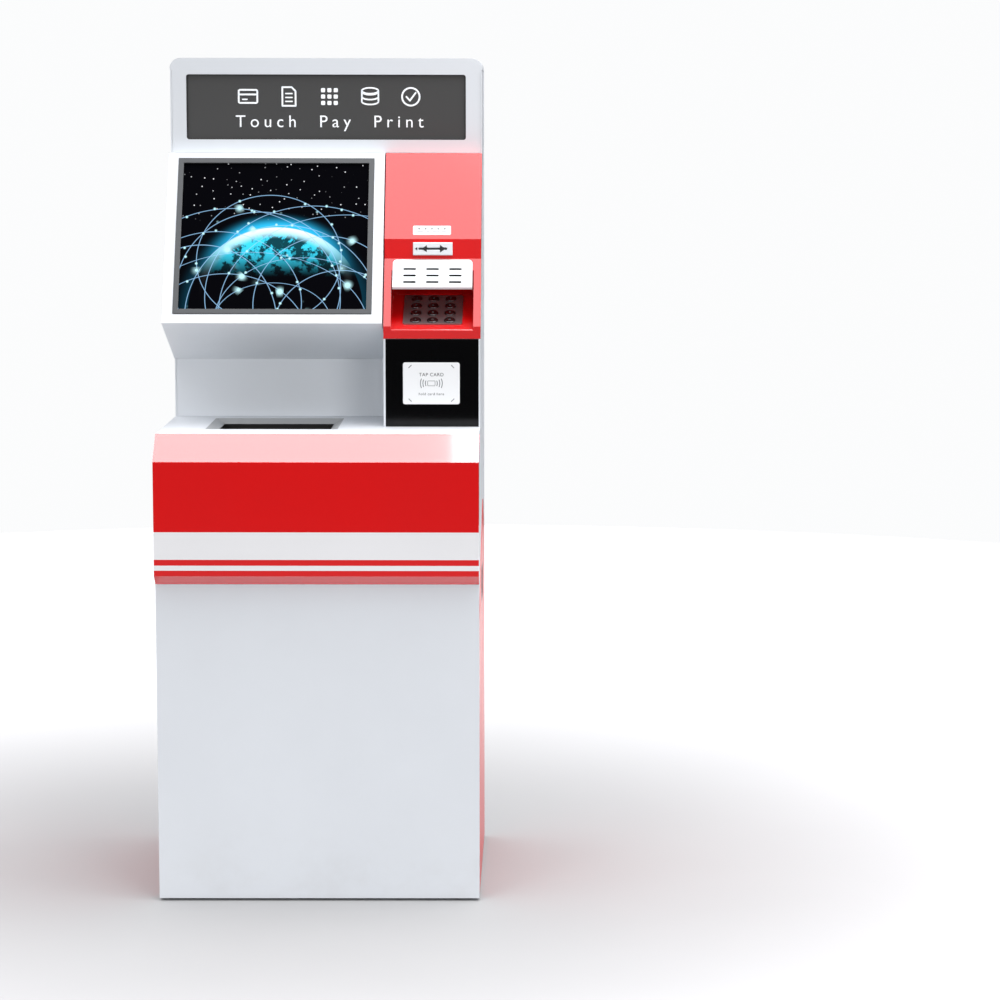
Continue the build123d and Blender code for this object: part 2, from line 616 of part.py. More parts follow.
def make_printer():
    """Page printer behind the chute; its two ears carry the outfeed roller."""
    x = grow(mouth_x, 10)
    front = roller_place[0] + ROLLER_RADIUS + 3
    body = box(x, (front, ring_y - 15), (roller_place[1] - 90, roller_place[1] + 24))
    body -= box(grow(mouth_x, -8), (front - 1, front + 25), (roller_place[1] + 3, roller_place[1] + 15))
    ears = [(x[0], x[0] + 5), (x[1] - 5, x[1])]
    for ear in ears:
        body += box(ear, (roller_place[0] - 6, front + 1), (roller_place[1] - 12, roller_place[1] + 12))
    body -= rod((x[0] - 1, *roller_place), (x[1] + 1, *roller_place), ROLLER_SHAFT + RUNNING)
    save("printer", body)

    roller = rod((x[0], *roller_place), (x[1], *roller_place), ROLLER_SHAFT)
    span = (x[1] - x[0] - 40) / 4
    for i in range(4):
        start = x[0] + 20 + (i + 0.25) * span
        roller += rod((start, *roller_place), (start + span / 2, *roller_place), ROLLER_RADIUS)
    save("outfeed_roller", roller)


def make_equipment():
    """Shelf, computer and power supply in the lower cabinet."""
    shelf_z = handle_mid[1] - HANDLE_SIZE[1] / 2 - SHELF_DROP
    top = shelf_z + SHEET
    y = (seam_y + 60, ring_y - 30)
    shelf = box((-fit_half, SHELF_END), y, (shelf_z, top))
    for x in (-fit_half, SHELF_END - SHEET):
        shelf += box((x, x + SHEET), y, (shelf_z - 30, top))
    save("equipment_shelf", shelf)
    case = box(COMPUTER_X, grow(y, -20), (top, top + COMPUTER_HEIGHT))
    vent = (COMPUTER_X[1] - COMPUTER_X[0]) / 20
    for i in range(8):
        start = COMPUTER_X[0] + vent * (2.5 + 2 * i)
        case -= box((start, start + vent), (y[0] + 19, y[0] + 21), (top + 20, top + COMPUTER_HEIGHT - 20))
    save("computer", case)
    base, middle = FLOOR_GAP + SHEET, (SUPPLY_PLACE[0], back_y - SUPPLY_PLACE[1] - SUPPLY_SIZE[1] / 2 + 25)
    supply = Pos(*middle, base + SUPPLY_SIZE[2] / 2) * Box(*SUPPLY_SIZE)
    save("power_supply", supply)


# --- Pull handles and service hatch -------------------------------------------------------------

def make_handles():
    cups = []
    for side in (-1, 1):
        cup = handle_hole(side, 0, 0, GRAPHIC) + handle_hole(side, -5.0 - FIT_GAP, 0, HANDLE_DEPTH + SHEET)
        cup -= handle_hole(side, -5.0 - FIT_GAP - SHEET, -1, HANDLE_DEPTH)
        cups.append(cup)
    group("pull_handles", cups)


def make_hatch():
    plate = box((inner_half, half), (hatch_y[0] + HATCH_GAP, hatch_axis[1] - HATCH_KNUCKLE - 2),
                grow(hatch_z, -HATCH_GAP))
    plate = fillet(plate.edges().filter_by(Axis.X).sort_by(Axis.Y)[:2], 4.0)
    low, high = hatch_spans[1], hatch_spans[2] - 0.4
    plate += box((inner_half, half), (hatch_axis[1] - HATCH_KNUCKLE - 3, hatch_axis[1]), (low, high))
    plate -= rod((*hatch_axis, low), (*hatch_axis, high), HATCH_KNUCKLE)
    plate += knuckle(low, high, hatch_axis, HATCH_KNUCKLE, HATCH_PIN + RUNNING)
    plate -= rod((inner_half - 5, *lock_place), (half + 5, *lock_place), LOCK_RADIUS + RUNNING)
    save("service_hatch", plate)

    lock = rod((half - 14, *lock_place), (half, *lock_place), LOCK_RADIUS)
    lock += box((half - 11, half - 8), (lock_place[0] - 22, lock_place[0] + 5),
                (lock_place[1] - LOCK_RADIUS, lock_place[1] + LOCK_RADIUS))
    lock -= box((half - 2, half + 1), (lock_place[0] - 0.6, lock_place[0] + 0.6),
                (lock_place[1] - 3, lock_place[1] + 3))
    save("hatch_lock", lock)


switch_place = (hatch_mid[0], hatch_mid[1] - 4)


def make_switch():
    """Pocket behind the hatch, with the mains rocker on its back wall."""
    back = half - SWITCH_DEPTH
    y, z = grow(hatch_y, 9), (hatch_z[0] - 9, hatch_z[1] + 16)
    tub = box((back, inner_half - FIT_GAP), y, z)
    tub -= box((back + SHEET, half), grow(y, -SHEET), grow(z, -SHEET))
    opening = box((back - 5, back + 8), grow((switch_place[0],) * 2, SWITCH_HALF[0] + 2),
                  grow((switch_place[1],) * 2, SWITCH_HALF[1] + 3))
    save("switch_box", tub - opening)

    hollow = box((back - 18, back + 10), grow((switch_place[0],) * 2, SWITCH_HALF[0]),
                 grow((switch_place[1],) * 2, SWITCH_HALF[1] + 1))
    body = box((back - 20, back + SHEET + 3), grow((switch_place[0],) * 2, SWITCH_HALF[0] + 2 - FIT_GAP / 2),
               grow((switch_place[1],) * 2, SWITCH_HALF[1] + 3 - FIT_GAP / 2)) - hollow
    pivot_x = back
    body -= rod((pivot_x, switch_place[0] - 12, switch_place[1]),
                (pivot_x, switch_place[0] + 12, switch_place[1]), ROCKER_PIN + RUNNING)
    save("switch_body", body)

    y = grow((switch_place[0],) * 2, SWITCH_HALF[0] - SLIDING)
    wedge = prism_y([(-3, -12), (3.5, -12), (6, 0), (3.5, 12), (-3, 12)], y)
    rocker = Pos(pivot_x, 0, switch_place[1]) * Rot(0, -9, 0) * wedge
    rocker += rod((pivot_x, switch_place[0] - 9.5, switch_place[1]),
                  (pivot_x, switch_place[0] + 9.5, switch_place[1]), ROCKER_PIN)
    save("rocker_switch", rocker)


def prism_y(outline, y):
    """Outline of (x, z) points carried along Y from y[0] to y[1]."""
    face = make_face(Polyline(*[(px, y[0], pz) for px, pz in outline], close=True))
    return extrude(face, amount=y[1] - y[0], dir=(0, 1, 0))


# --- Doors and hinges ---------------------------------------------------------------------------

def knuckle_spans(bottom, top):
    """Equal spans along a piano hinge, first and last on the fixed side."""
    count = max(3, int((top - bottom) / KNUCKLE_LENGTH) // 2 * 2 + 1)
    pitch = (top - bottom) / count
    return [(bottom + i * pitch, bottom + (i + 1) * pitch - 0.5) for i in range(count)]


front_hinge = (hinge_x, seam_y)
rear_hinge = (hinge_x, rear_y)
front_spans = knuckle_spans(FLOOR_GAP + 10, ledge_z - 45)
rear_spans = knuckle_spans(SILL_HEIGHT + 8, roof_z - 10)


def make_hinges():
    leaves = []
    for (x, y), spans, side in ((front_hinge, front_spans, 1), (rear_hinge, rear_spans, -1)):
        low, high = spans[0][0], spans[-1][1]
        reach = sorted((y + side * (HINGE_RADIUS + 0.6), y + side * 28))
        leaf = box((-inner_half, -inner_half + LEAF), reach, (low, high))
        for span in spans[::2]:
            leaf += box((-inner_half, -inner_half + LEAF), sorted((y, y + side * 8)), span)
            leaf -= rod((x, y, span[0]), (x, y, span[1]), HINGE_RADIUS)
            leaf += knuckle(*span, (x, y), HINGE_RADIUS, PIN_RADIUS)
        leaves.append(leaf)
    group("hinge_leaves", leaves)
    pins = [rod((*place, spans[0][0]), (*place, spans[-1][1]), PIN_RADIUS)
            for place, spans in ((front_hinge, front_spans), (rear_hinge, rear_spans))]
    pins.append(rod((*hatch_axis, hatch_spans[0]), (*hatch_axis, hatch_spans[3] - 0.4), HATCH_PIN))
    group("hinge_pins", pins)


def make_front_door():
    back = seam_y - DOOR_GAP
    rise_z = ledge_z - NOSE_CHAMFER - 7.3
    outline = [(back, FLOOR_GAP), (door_y, FLOOR_GAP), (door_y, rise_z), (back, rise_z + (back - door_y) * 0.94)]
    pan = prism(outline, (-half, half))
    pan -= prism(inset(outline, (SHEET, SHEET, SHEET, -5)), (-half + SHEET, half - SHEET))
    pan -= box((-half - 1, hinge_x + hinge_clear), (seam_y - hinge_clear - 0.5, seam_y + 1), (0, ledge_z))
    for span in front_spans[1::2]:
        pan += box((-half, -half + SHEET), (seam_y - 9, seam_y - 1), span)
        pan -= rod((*front_hinge, span[0]), (*front_hinge, span[1]), HINGE_RADIUS)
        pan += knuckle(*span, front_hinge, HINGE_RADIUS, PIN_RADIUS + RUNNING)
    for x in bolt_posts:
        post = box((x, x + BOLT_POST), (door_y + SHEET, bolt_place[0] + BOLT_RADIUS + 4),
                   grow((bolt_place[1],) * 2, BOLT_RADIUS + 6))
        pan += post - rod((x - 1, *bolt_place), (x + BOLT_POST + 1, *bolt_place), BOLT_RADIUS + SLIDING)
    save("front_door", pan)

    tip = front_y
    foot = ledge_z - NOSE_CHAMFER - NOSE_HEIGHT
    nose = [(back, ledge_z), (tip, ledge_z - NOSE_CHAMFER), (tip, foot), (door_y, foot - NOSE_UNDERCUT),
            (door_y, rise_z), (back, rise_z + (back - door_y) * 0.94)]
    hood = prism(nose, (-half, half))
    hood -= prism(inset(nose, (2.5, 2.5, 2.5, 0, 0, 2.5)), (-half + SHELL, half - SHELL))
    save("nose_hood", hood)

    start, end = bolt_posts[0] - 6, bolt_keeper - BOLT_TRAVEL / 2 + 1
    grip = bolt_posts[0] + BOLT_POST + BOLT_PLAY + BOLT_PIN
    bolt = rod((start, *bolt_place), (end, *bolt_place), BOLT_RADIUS)
    bolt += rod((grip, *bolt_place), (grip, bolt_place[0] + 22, bolt_place[1]), BOLT_PIN)
    save("door_bolt", bolt)


fan_place = (0.0, HEIGHT - FAN_DROP)
fan_half = FAN_SIZE / 2
rear_lock_place = (fit_half - RING_WIDTH - 12, ledge_z - 40)


def make_rear_door():
    left = hinge_x + hinge_clear
    z = (SILL_HEIGHT + DOOR_GAP, HEIGHT)
    door = box((left, half), (rear_y, back_y), z)
    corner = door.edges().filter_by(Axis.Y).sort_by(Axis.Z)[-2:].sort_by(Axis.X)
    door = fillet(corner[1], ROOF_RADIUS)
    door -= prism_y([(left - 1, HEIGHT + 1), (left - 1, HEIGHT - ROOF_RADIUS), (left + ROOF_RADIUS, HEIGHT + 1)],
                    (rear_y - 1, back_y + 1))
    door -= box((left + 6, half - 6), (rear_y - 1, rear_y + SHEET), (z[0] + 6, z[1] - ROOF_RADIUS - 6))
    for span in rear_spans[1::2]:
        door += box((hinge_x, left + 1), (rear_y, back_y), span)
        door -= rod((*rear_hinge, span[0]), (*rear_hinge, span[1]), HINGE_RADIUS)
        door += knuckle(*span, rear_hinge, HINGE_RADIUS, PIN_RADIUS + RUNNING)
    slots = [(x, z0) for x in (-95, 95) for z0 in [SILL_HEIGHT + 120 + 16 * i for i in range(9)]]
    slots += [(fan_place[0], fan_place[1] - 48 + 16 * i) for i in range(7)]
    for i, (x, z0) in enumerate(slots):
        width = 60 if i < 18 else fan_half - 8
        door -= box((x - width, x + width), (rear_y - 1, back_y + 1), (z0 - 3, z0 + 3))
    door -= rod((rear_lock_place[0], rear_y - 5, rear_lock_place[1]),
                (rear_lock_place[0], back_y + 5, rear_lock_place[1]), REAR_LOCK_RADIUS + RUNNING)
    save("rear_door", door)

    x, z0 = rear_lock_place
    lock = rod((x, rear_y - 12, z0), (x, back_y, z0), REAR_LOCK_RADIUS)
    lock += box((x - 7, x + 7), (rear_y - 12, rear_y - 9), (z0 - 7, z0 + 34))
    lock -= box((x - 0.8, x + 0.8), (back_y - 3, back_y + 1), (z0 - 5, z0 + 5))
    save("rear_lock", lock)


def make_fan():
    x, z = fan_place
    back = rear_y + SHEET
    front = back - FAN_DEPTH
    frame = box((x - fan_half, x + fan_half), (front, back), (z - fan_half, z + fan_half))
    frame -= rod((x, front - 1, z), (x, back + 1, z), fan_half - 4)
    for turn in (45, 135):
        frame += Pos(x, front + 1.5, z) * Rot(0, turn, 0) * Box(2 * fan_half - 6, 3, 5)
    frame += rod((x, front, z), (x, front + 4, z), 18)
    frame -= rod((x, front - 1, z), (x, front + 5, z), 3 + RUNNING)
    save("fan_frame", frame)
    rotor = rod((x, front + 5, z), (x, back - 3, z), 20) + rod((x, front, z), (x, front + 6, z), 3)
    blade = Pos(0, (front + back) / 2, 36) * Rot(0, 0, 32) * Box(17, 2, 36)
    for i in range(7):
        rotor += Pos(x, 0, z) * Rot(0, i * 360 / 7, 0) * blade
    save("fan_rotor", rotor)


os.makedirs("parts", exist_ok=True)
make_side_panels()
make_side_graphics()
make_base()
make_rear_frame()
make_power_inlet()
make_header()
make_screen()
make_column()
make_card_reader()
make_pocket()
make_hood()
make_keypad()
make_contactless_panel()
make_nook()
make_ledge()
make_printer()
make_equipment()
make_handles()
make_hatch()
make_switch()
make_hinges()
make_front_door()
make_rear_door()
make_fan()
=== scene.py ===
# %% [markdown]
# # A self-service kiosk terminal
# The kiosk's steel, glass and moulded parts come ready made from the frame, each already in its
# place. What is left to Blender is how they look: powder coat, gloss red lacquer, a lit display,
# brushed metal keys, and the thin printed and moulded things that sit on top of them. Every size
# below is in metres, and every place is read from the frame, so a piece lands where it belongs.

# %% Load the frame
import math

import bpy
import numpy as np
from mathutils import Matrix, Vector


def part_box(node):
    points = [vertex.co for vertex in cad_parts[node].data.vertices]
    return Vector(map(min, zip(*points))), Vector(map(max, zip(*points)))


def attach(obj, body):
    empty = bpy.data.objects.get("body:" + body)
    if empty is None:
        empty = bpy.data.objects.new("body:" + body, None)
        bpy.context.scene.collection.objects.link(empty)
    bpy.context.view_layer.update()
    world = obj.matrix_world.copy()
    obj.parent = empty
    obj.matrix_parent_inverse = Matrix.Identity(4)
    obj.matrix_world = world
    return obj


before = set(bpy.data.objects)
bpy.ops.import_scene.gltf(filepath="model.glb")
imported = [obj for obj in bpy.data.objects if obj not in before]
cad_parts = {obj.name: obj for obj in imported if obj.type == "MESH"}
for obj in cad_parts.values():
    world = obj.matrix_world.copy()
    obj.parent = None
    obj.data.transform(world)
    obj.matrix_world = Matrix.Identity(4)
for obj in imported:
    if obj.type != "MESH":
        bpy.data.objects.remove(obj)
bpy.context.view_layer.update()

# %% [markdown]
# The camera stands in front and to the right of the middle, a little above the ledge's height,
# and looks slightly down with a long lens. Its axis is turned less than half a degree, and a
# small shift puts the kiosk in the left half of the frame.

# %% Camera
CAMERA_PLACE = (0.4436, -6.0818, 1.6058)
CAMERA_TURNS = (0.358, 6.682, 0.124)  # yaw, pitch and roll in degrees

camera_data = bpy.data.cameras.new("camera")
camera_data.sensor_width = 36.0
camera_data.lens = 107.37
camera_data.shift_x = -0.0604
camera_data.shift_y = -0.0570
camera_data.clip_end = 100.0
camera = bpy.data.objects.new("camera", camera_data)
bpy.context.scene.collection.objects.link(camera)


def aim(place, yaw, pitch, roll):
    """Camera matrix: yaw turns right from +Y, pitch looks down, roll turns about the view axis."""
    level = math.cos(pitch)
    forward = Vector((math.sin(yaw) * level, math.cos(yaw) * level, -math.sin(pitch)))
    right = Vector((math.cos(yaw), -math.sin(yaw), 0.0))
    up = right.cross(forward)
    rolled = right * math.cos(roll) + up * math.sin(roll)
    turned = up * math.cos(roll) - right * math.sin(roll)
    matrix = Matrix((rolled, turned, -forward)).transposed().to_4x4()
    return Matrix.Translation(place) @ matrix


camera.matrix_world = aim(CAMERA_PLACE, *(math.radians(turn) for turn in CAMERA_TURNS))
bpy.context.scene.camera = camera
print("camera at", tuple(round(v, 3) for v in camera.matrix_world.translation))

# %% [markdown]
# A studio for a glossy product is mostly a matter of what the gloss reflects. Faces that lean
# back, such as the column and the top of the nose, look up at the ceiling, and upright faces look
# at the horizon. So the sky here is dim low down, where its reflection would wash out the red, and
# climbs to very bright overhead, like one huge soft box above the kiosk. Two lamps in front stand
# so far apart that no flat face mirrors either, and one overhead brightens the right end of the
# nose. The camera itself sees a plain pale backdrop instead of this sky.

# %% Sky and lamps
def link(obj):
    """The object, linked to the scene."""
    bpy.context.scene.collection.objects.link(obj)
    return obj


# Height of a direction (0 level, 1 straight up) and the sky's radiance there
SKY = [(0.0, 0.04), (0.10, 0.07), (0.32, 0.30), (0.55, 0.72), (0.72, 1.25), (0.90, 2.6), (1.0, 3.5)]
SKY_TOP = SKY[-1][1]
BACKDROP = (0.97, 0.975, 0.98, 1.0)


def make_sky():
    """World whose light follows SKY, behind a plain backdrop for the view."""
    world = bpy.data.worlds.new("studio")
    world.use_nodes = True
    nodes, links = world.node_tree.nodes, world.node_tree.links
    nodes.clear()
    coord = nodes.new("ShaderNodeTexCoord")
    split = nodes.new("ShaderNodeSeparateXYZ")
    links.new(coord.outputs["Generated"], split.inputs[0])
    ramp = nodes.new("ShaderNodeValToRGB")
    elements = ramp.color_ramp.elements
    while len(elements) < len(SKY):
        elements.new(1.0)
    for element, (height, radiance) in zip(elements, SKY):
        level = radiance / SKY_TOP
        element.position, element.color = height, (level, level, level * 1.02, 1.0)
    links.new(split.outputs["Z"], ramp.inputs[0])
    light = nodes.new("ShaderNodeBackground")
    light.inputs["Strength"].default_value = SKY_TOP
    links.new(ramp.outputs[0], light.inputs["Color"])
    plain = nodes.new("ShaderNodeBackground")
    plain.inputs["Color"].default_value = BACKDROP
    path = nodes.new("ShaderNodeLightPath")
    mix = nodes.new("ShaderNodeMixShader")
    out = nodes.new("ShaderNodeOutputWorld")
    links.new(path.outputs["Is Camera Ray"], mix.inputs[0])
    links.new(light.outputs[0], mix.inputs[1])
    links.new(plain.outputs[0], mix.inputs[2])
    links.new(mix.outputs[0], out.inputs["Surface"])
    bpy.context.scene.world = world


def make_lamp(name, place, target, size, power):
    """Rectangular soft box at place, facing target."""
    data = bpy.data.lights.new(name, "AREA")
    data.shape = "RECTANGLE"
    data.size, data.size_y = size
    data.energy = power
    obj = link(bpy.data.objects.new(name, data))
    turn = (Vector(target) - Vector(place)).to_track_quat("-Z", "Y")
    obj.matrix_world = Matrix.Translation(place) @ turn.to_matrix().to_4x4()


KIOSK_MIDDLE = (0.0, 0.0, 1.1)
FRONT_LAMP_SIZE = (1.3, 1.3)
make_sky()
make_lamp("left_box", (-2.1, -3.9, 2.0), KIOSK_MIDDLE, FRONT_LAMP_SIZE, 40.0)
make_lamp("right_box", (1.9, -4.0, 2.0), KIOSK_MIDDLE, FRONT_LAMP_SIZE, 44.0)
make_lamp("overhead_box", (1.05, -0.4, 3.1), (1.05, -0.4, 0.0), (1.7, 1.8), 34.0)
bpy.context.scene.view_settings.view_transform = "Standard"

# %% [markdown]
# Materials are written as arithmetic. A Value wraps one socket of a material's node tree: adding
# or multiplying two Values adds a Math node, and every other kind of node comes from one method.
# That keeps a recipe short enough to read as a formula.

# %% Shader arithmetic
class Value:
    """One socket in a node tree. Operators add Math nodes, and node() adds any other node."""

    def __init__(self, tree, socket=None):
        self.tree, self.socket = tree, socket

    def node(self, kind, settings=None, inputs=None, output=0):
        """A node of this kind: settings first, then its sockets' values or links."""
        made = self.tree.nodes.new(kind)
        for name, setting in (settings or {}).items():
            if name == "stops":
                ramp = made.color_ramp
                while len(ramp.elements) < len(setting):
                    ramp.elements.new(1.0)
                for element, (place, colour) in zip(ramp.elements, setting):
                    element.position, element.color = place, (*colour, 1.0)
            else:
                setattr(made, name, setting)
        for name, given in (inputs or {}).items():
            if isinstance(given, Value):
                self.tree.links.new(given.socket, made.inputs[name])
            else:
                made.inputs[name].default_value = given
        return Value(self.tree, made.outputs[output])

    def maths(self, operation, *others):
        """A Math node on this value and any others."""
        inputs = dict(enumerate((self, *others)))
        return self.node("ShaderNodeMath", {"operation": operation}, inputs)

    def __add__(self, other):
        return self.maths("ADD", other)

    __radd__ = __add__

    def __sub__(self, other):
        return self.maths("SUBTRACT", other)

    def __rsub__(self, other):
        return self * -1.0 + other

    def __mul__(self, other):
        return self.maths("MULTIPLY", other)

    __rmul__ = __mul__

    def __truediv__(self, other):
        return self.maths("DIVIDE", other)

    def __pow__(self, other):
        return self.maths("POWER", other)

    def most(self, other):
        """The larger of two."""
        return self.maths("MAXIMUM", other)

    def least(self, other):
        """The smaller of two."""
        return self.maths("MINIMUM", other)

    def step(self, low, high):
        """0 below low, 1 above high, and a smooth rise between them."""
        inputs = {"Value": self, "From Min": low, "From Max": high}
        return self.node("ShaderNodeMapRange", {"interpolation_type": "SMOOTHSTEP"}, inputs)

    def fall(self, low, high):
        """1 below low, 0 above high, and a smooth drop between them."""
        return 1.0 - self.step(low, high)

    def split(self):
        """The three parts of a vector."""
        parts = self.node("ShaderNodeSeparateXYZ", inputs={0: self}).socket.node.outputs
        return [Value(self.tree, part) for part in parts]

    def tint(self, low, high):
        """Mix of two colours by this value; each is a tuple or another Value."""
        first, second = (c if isinstance(c, Value) else (*c, 1.0) for c in (low, high))
        return self.node("ShaderNodeMix", {"data_type": "RGBA"}, {0: self, 6: first, 7: second}, output=2)

    def noise(self, scale, detail=3.0, roughness=0.5, stretch=(1.0, 1.0, 1.0)):
        """Noise of this many lumps per metre over a coordinate, stretched along some axes."""
        place = self
        if stretch != (1.0, 1.0, 1.0):
            place = self.node("ShaderNodeVectorMath", {"operation": "MULTIPLY"}, {0: self, 1: stretch})
        return self.node("ShaderNodeTexNoise", None,
                         {"Vector": place, "Scale": scale, "Detail": detail, "Roughness": roughness})

    def along(self, axis):
        """Dot product of a vector with a fixed axis or another Value."""
        return self.node("ShaderNodeVectorMath", {"operation": "DOT_PRODUCT"}, {0: self, 1: axis}, output=1)


def new_material(name):
    """An empty node material, its Object coordinate and its Principled shader."""
    material = bpy.data.materials.new(name)
    material.use_nodes = True
    tree = material.node_tree
    tree.nodes.clear()
    start = Value(tree)
    place = start.node("ShaderNodeTexCoord", output=3)
    shader = tree.nodes.new("ShaderNodeBsdfPrincipled")
    out = tree.nodes.new("ShaderNodeOutputMaterial")
    tree.links.new(shader.outputs[0], out.inputs["Surface"])
    return material, place, shader


def plug(shader, **sockets):
    """Sets or links sockets of a shader; underscores in a name stand for spaces."""
    for name, given in sockets.items():
        socket = shader.inputs[name.replace("_", " ")]
        if isinstance(given, Value):
            given.tree.links.new(given.socket, socket)
        else:
            socket.default_value = given


# %% [markdown]
# Almost every finish here is the same sentence with other numbers: a colour that drifts a little
# over the sheet, a roughness that varies with handling, a fine bump, and edges that are slightly
# rounded and slightly lighter: a painted highlight along the edges, in noisy patches that also stand
# for rubbing wear. A Bevel node rounds the shading of a crisp edge, and the angle between its normal
# and the true one tells where an edge is.

# %% One recipe for painted and moulded finishes
NO_LIGHT = (0.0, 0.0, 0.0)
DUST = (0.42, 0.39, 0.35)
DUST_HEIGHT = 0.22


def finish(name, colour, roughness, grain=900.0, grain_depth=0.00002, drift=0.04, edge=0.0008,
           edge_light=0.15, stretch=(1.0, 1.0, 1.0), dust=0.0, paint=None, **constants):
    """Material whose colour drifts, whose roughness varies, and whose edges carry a painted highlight that
    partly stands for rubbing wear.
    """
    material, place, shader = new_material(name)
    rounded = place.node("ShaderNodeBevel", {"samples": 4}, {"Radius": edge})
    true_normal = place.node("ShaderNodeNewGeometry", output=1)
    # Edges found by the bevel, in noisy patches: a painted highlight that partly also stands for rubbing
    # wear.
    highlit_rubbed_edges = (1.0 - rounded.along(true_normal)).step(0.02, 0.25) * place.noise(60.0, 4.0).step(0.35, 0.65)
    base = paint(place) if paint else colour
    broad = place.noise(3.0, 4.0).step(0.3, 0.7)
    fine = place.noise(grain, 2.0, 0.6, stretch)
    mixed = (broad * drift).tint(base, NO_LIGHT)
    # Painted highlight: the edges are lightened towards white, partly as rubbing wear.
    mixed = (highlit_rubbed_edges * edge_light).tint(mixed, (1.0, 1.0, 1.0))
    if dust:
        height = place.split()[2]
        settled = height.fall(0.0, DUST_HEIGHT) * place.noise(14.0, 6.0, 0.65).step(0.4, 0.75) * dust
        mixed = settled.tint(mixed, DUST)
    bump = place.node("ShaderNodeBump", None,
                      {"Strength": 1.0, "Distance": grain_depth, "Height": fine, "Normal": rounded})
    handled = roughness + (broad - 0.5) * 0.06 + (fine - 0.5) * 0.05
    plug(shader, Base_Color=mixed, Roughness=handled, Normal=bump, **constants)
    return material


def rgb(red, green, blue):
    """Linear colour of a 0 to 255 display colour."""
    return tuple(((c / 255 + 0.055) / 1.055) ** 2.4 if c > 10 else c / 3294.6 for c in (red, green, blue))


WHITE = rgb(221, 225, 230)
RED = rgb(232, 12, 15)
BLACK = rgb(14, 14, 15)
GLOSS = {"roughness": 0.16, "grain": 500.0, "grain_depth": 0.000004, "edge_light": 0.25,
         "Coat_Weight": 1.0, "Coat_Roughness": 0.06, "Coat_IOR": 2.2}

powder = finish("white_powder_coat", WHITE, 0.42, grain=1500.0, dust=0.10)
satin = finish("white_moulding", rgb(232, 236, 240), 0.34, grain=2200.0, grain_depth=0.00001)
lacquer = finish("red_lacquer", RED, **GLOSS)
vinyl = finish("red_side_film", rgb(232, 22, 24), 0.3, grain=700.0, grain_depth=0.000006, dust=0.06,
               Coat_Weight=0.15, Coat_Roughness=0.15, Specular_IOR_Level=0.3)
print("painted finishes", [m.name for m in (powder, satin, lacquer, vinyl)])

# %% [markdown]
# The nose carries horizontal bands: red, a broad pale band, then thin red, pale and red lines down
# to its lower edge. They are printed at fixed heights, so the band is a function of height alone.

# %% Striped nose
nose_low, nose_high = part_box("nose_hood")
print("nose from", round(nose_low.z, 4), "to", round(nose_high.z, 4))
BAND_TOP, BAND_FOOT = nose_high.z - 0.1895, nose_high.z - 0.2442
LINE_TOP, LINE_FOOT = nose_high.z - 0.2559, nose_high.z - 0.2659
PRINT_BLUR = 0.0003
PALE_PRINT = rgb(252, 252, 254)


def stripes(place):
    """Pale between the heights of the broad band and of the thin line, red elsewhere."""
    height = place.split()[2]
    band, line = (height.step(foot, foot + PRINT_BLUR) * height.fall(top, top + PRINT_BLUR)
                  for foot, top in ((BAND_FOOT, BAND_TOP), (LINE_FOOT, LINE_TOP)))
    return (band + line).tint(RED, PALE_PRINT)


striped = finish("striped_lacquer", RED, paint=stripes, **GLOSS)

# %% [markdown]
# Dark and bare finishes: moulded black plastic with a spark-eroded grain, polished black acrylic,
# zinc-plated sheet, brushed dark steel whose scratches run across the keypad, polished key metal,
# and ground rubber. Brushing is noise stretched a long way along one axis.

# %% Dark, metal and rubber finishes
grained = finish("black_moulding", BLACK, 0.38, grain=2600.0, grain_depth=0.00003, edge_light=0.08)
acrylic = finish("black_acrylic", rgb(5, 5, 6), 0.12, grain=300.0, grain_depth=0.000002,
                 edge_light=0.1, Specular_IOR_Level=0.3)
sign_grey = finish("sign_grey", rgb(62, 62, 62), 0.5, grain=1800.0, grain_depth=0.00001, edge_light=0.1)
bezel_grey = finish("bezel_grey", rgb(90, 92, 94), 0.35, grain=1800.0, grain_depth=0.00001,
                    edge_light=0.3, Metallic=0.35)
# The outlet's rim is painted mid grey: painted shade standing for the shaded sloped walls of its recess.
outlet_shade_grey = finish("outlet_grey", rgb(168, 170, 172), 0.4, grain=1500.0, edge_light=0.3)
zinc = finish("zinc_sheet", rgb(176, 178, 180), 0.36, grain=260.0, drift=0.18, Metallic=0.9)
bright_steel = finish("bright_steel", rgb(190, 190, 190), 0.22, grain=1200.0, stretch=(1.0, 1.0, 0.05),
                      Metallic=1.0)
plate_steel = finish("keypad_steel", rgb(150, 140, 142), 0.38, grain=2600.0, grain_depth=0.000012,
                     stretch=(0.03, 1.0, 1.0), drift=0.1, Metallic=0.8)
key_steel = finish("key_steel", rgb(104, 100, 102), 0.24, grain=900.0, grain_depth=0.000004, edge=0.0015,
                   edge_light=0.35, Metallic=1.0)
# Near-black painted shade, set behind the hood's slots where the kiosk's dark inside would show.
slot_shade_sheet = finish("painted_slot_shade", rgb(7, 7, 7), 0.8, grain=1100.0, grain_depth=0.00006, edge_light=0.0,
               Specular_IOR_Level=0.1)
rubber = finish("ground_rubber", rgb(24, 24, 25), 0.75, grain=1600.0, grain_depth=0.00005)
lamp_white = finish("lamp_bar", rgb(230, 230, 224), 0.5, grain=1200.0)
ink = finish("black_ink", rgb(26, 27, 30), 0.5, grain=2400.0, grain_depth=0.000004, edge_light=0.0)
soft_ink = finish("grey_ink", rgb(120, 122, 124), 0.5, grain=2400.0, grain_depth=0.000004, edge_light=0.0)
label_white = finish("label_white", rgb(240, 241, 242), 0.4, grain=1600.0, grain_depth=0.000006,
                     edge_light=0.0)
sign_white = finish("sign_letters", rgb(238, 240, 242), 0.45, grain=1600.0, grain_depth=0.000006,
                    Emission_Color=(0.9, 0.95, 1.0, 1.0), Emission_Strength=0.25)
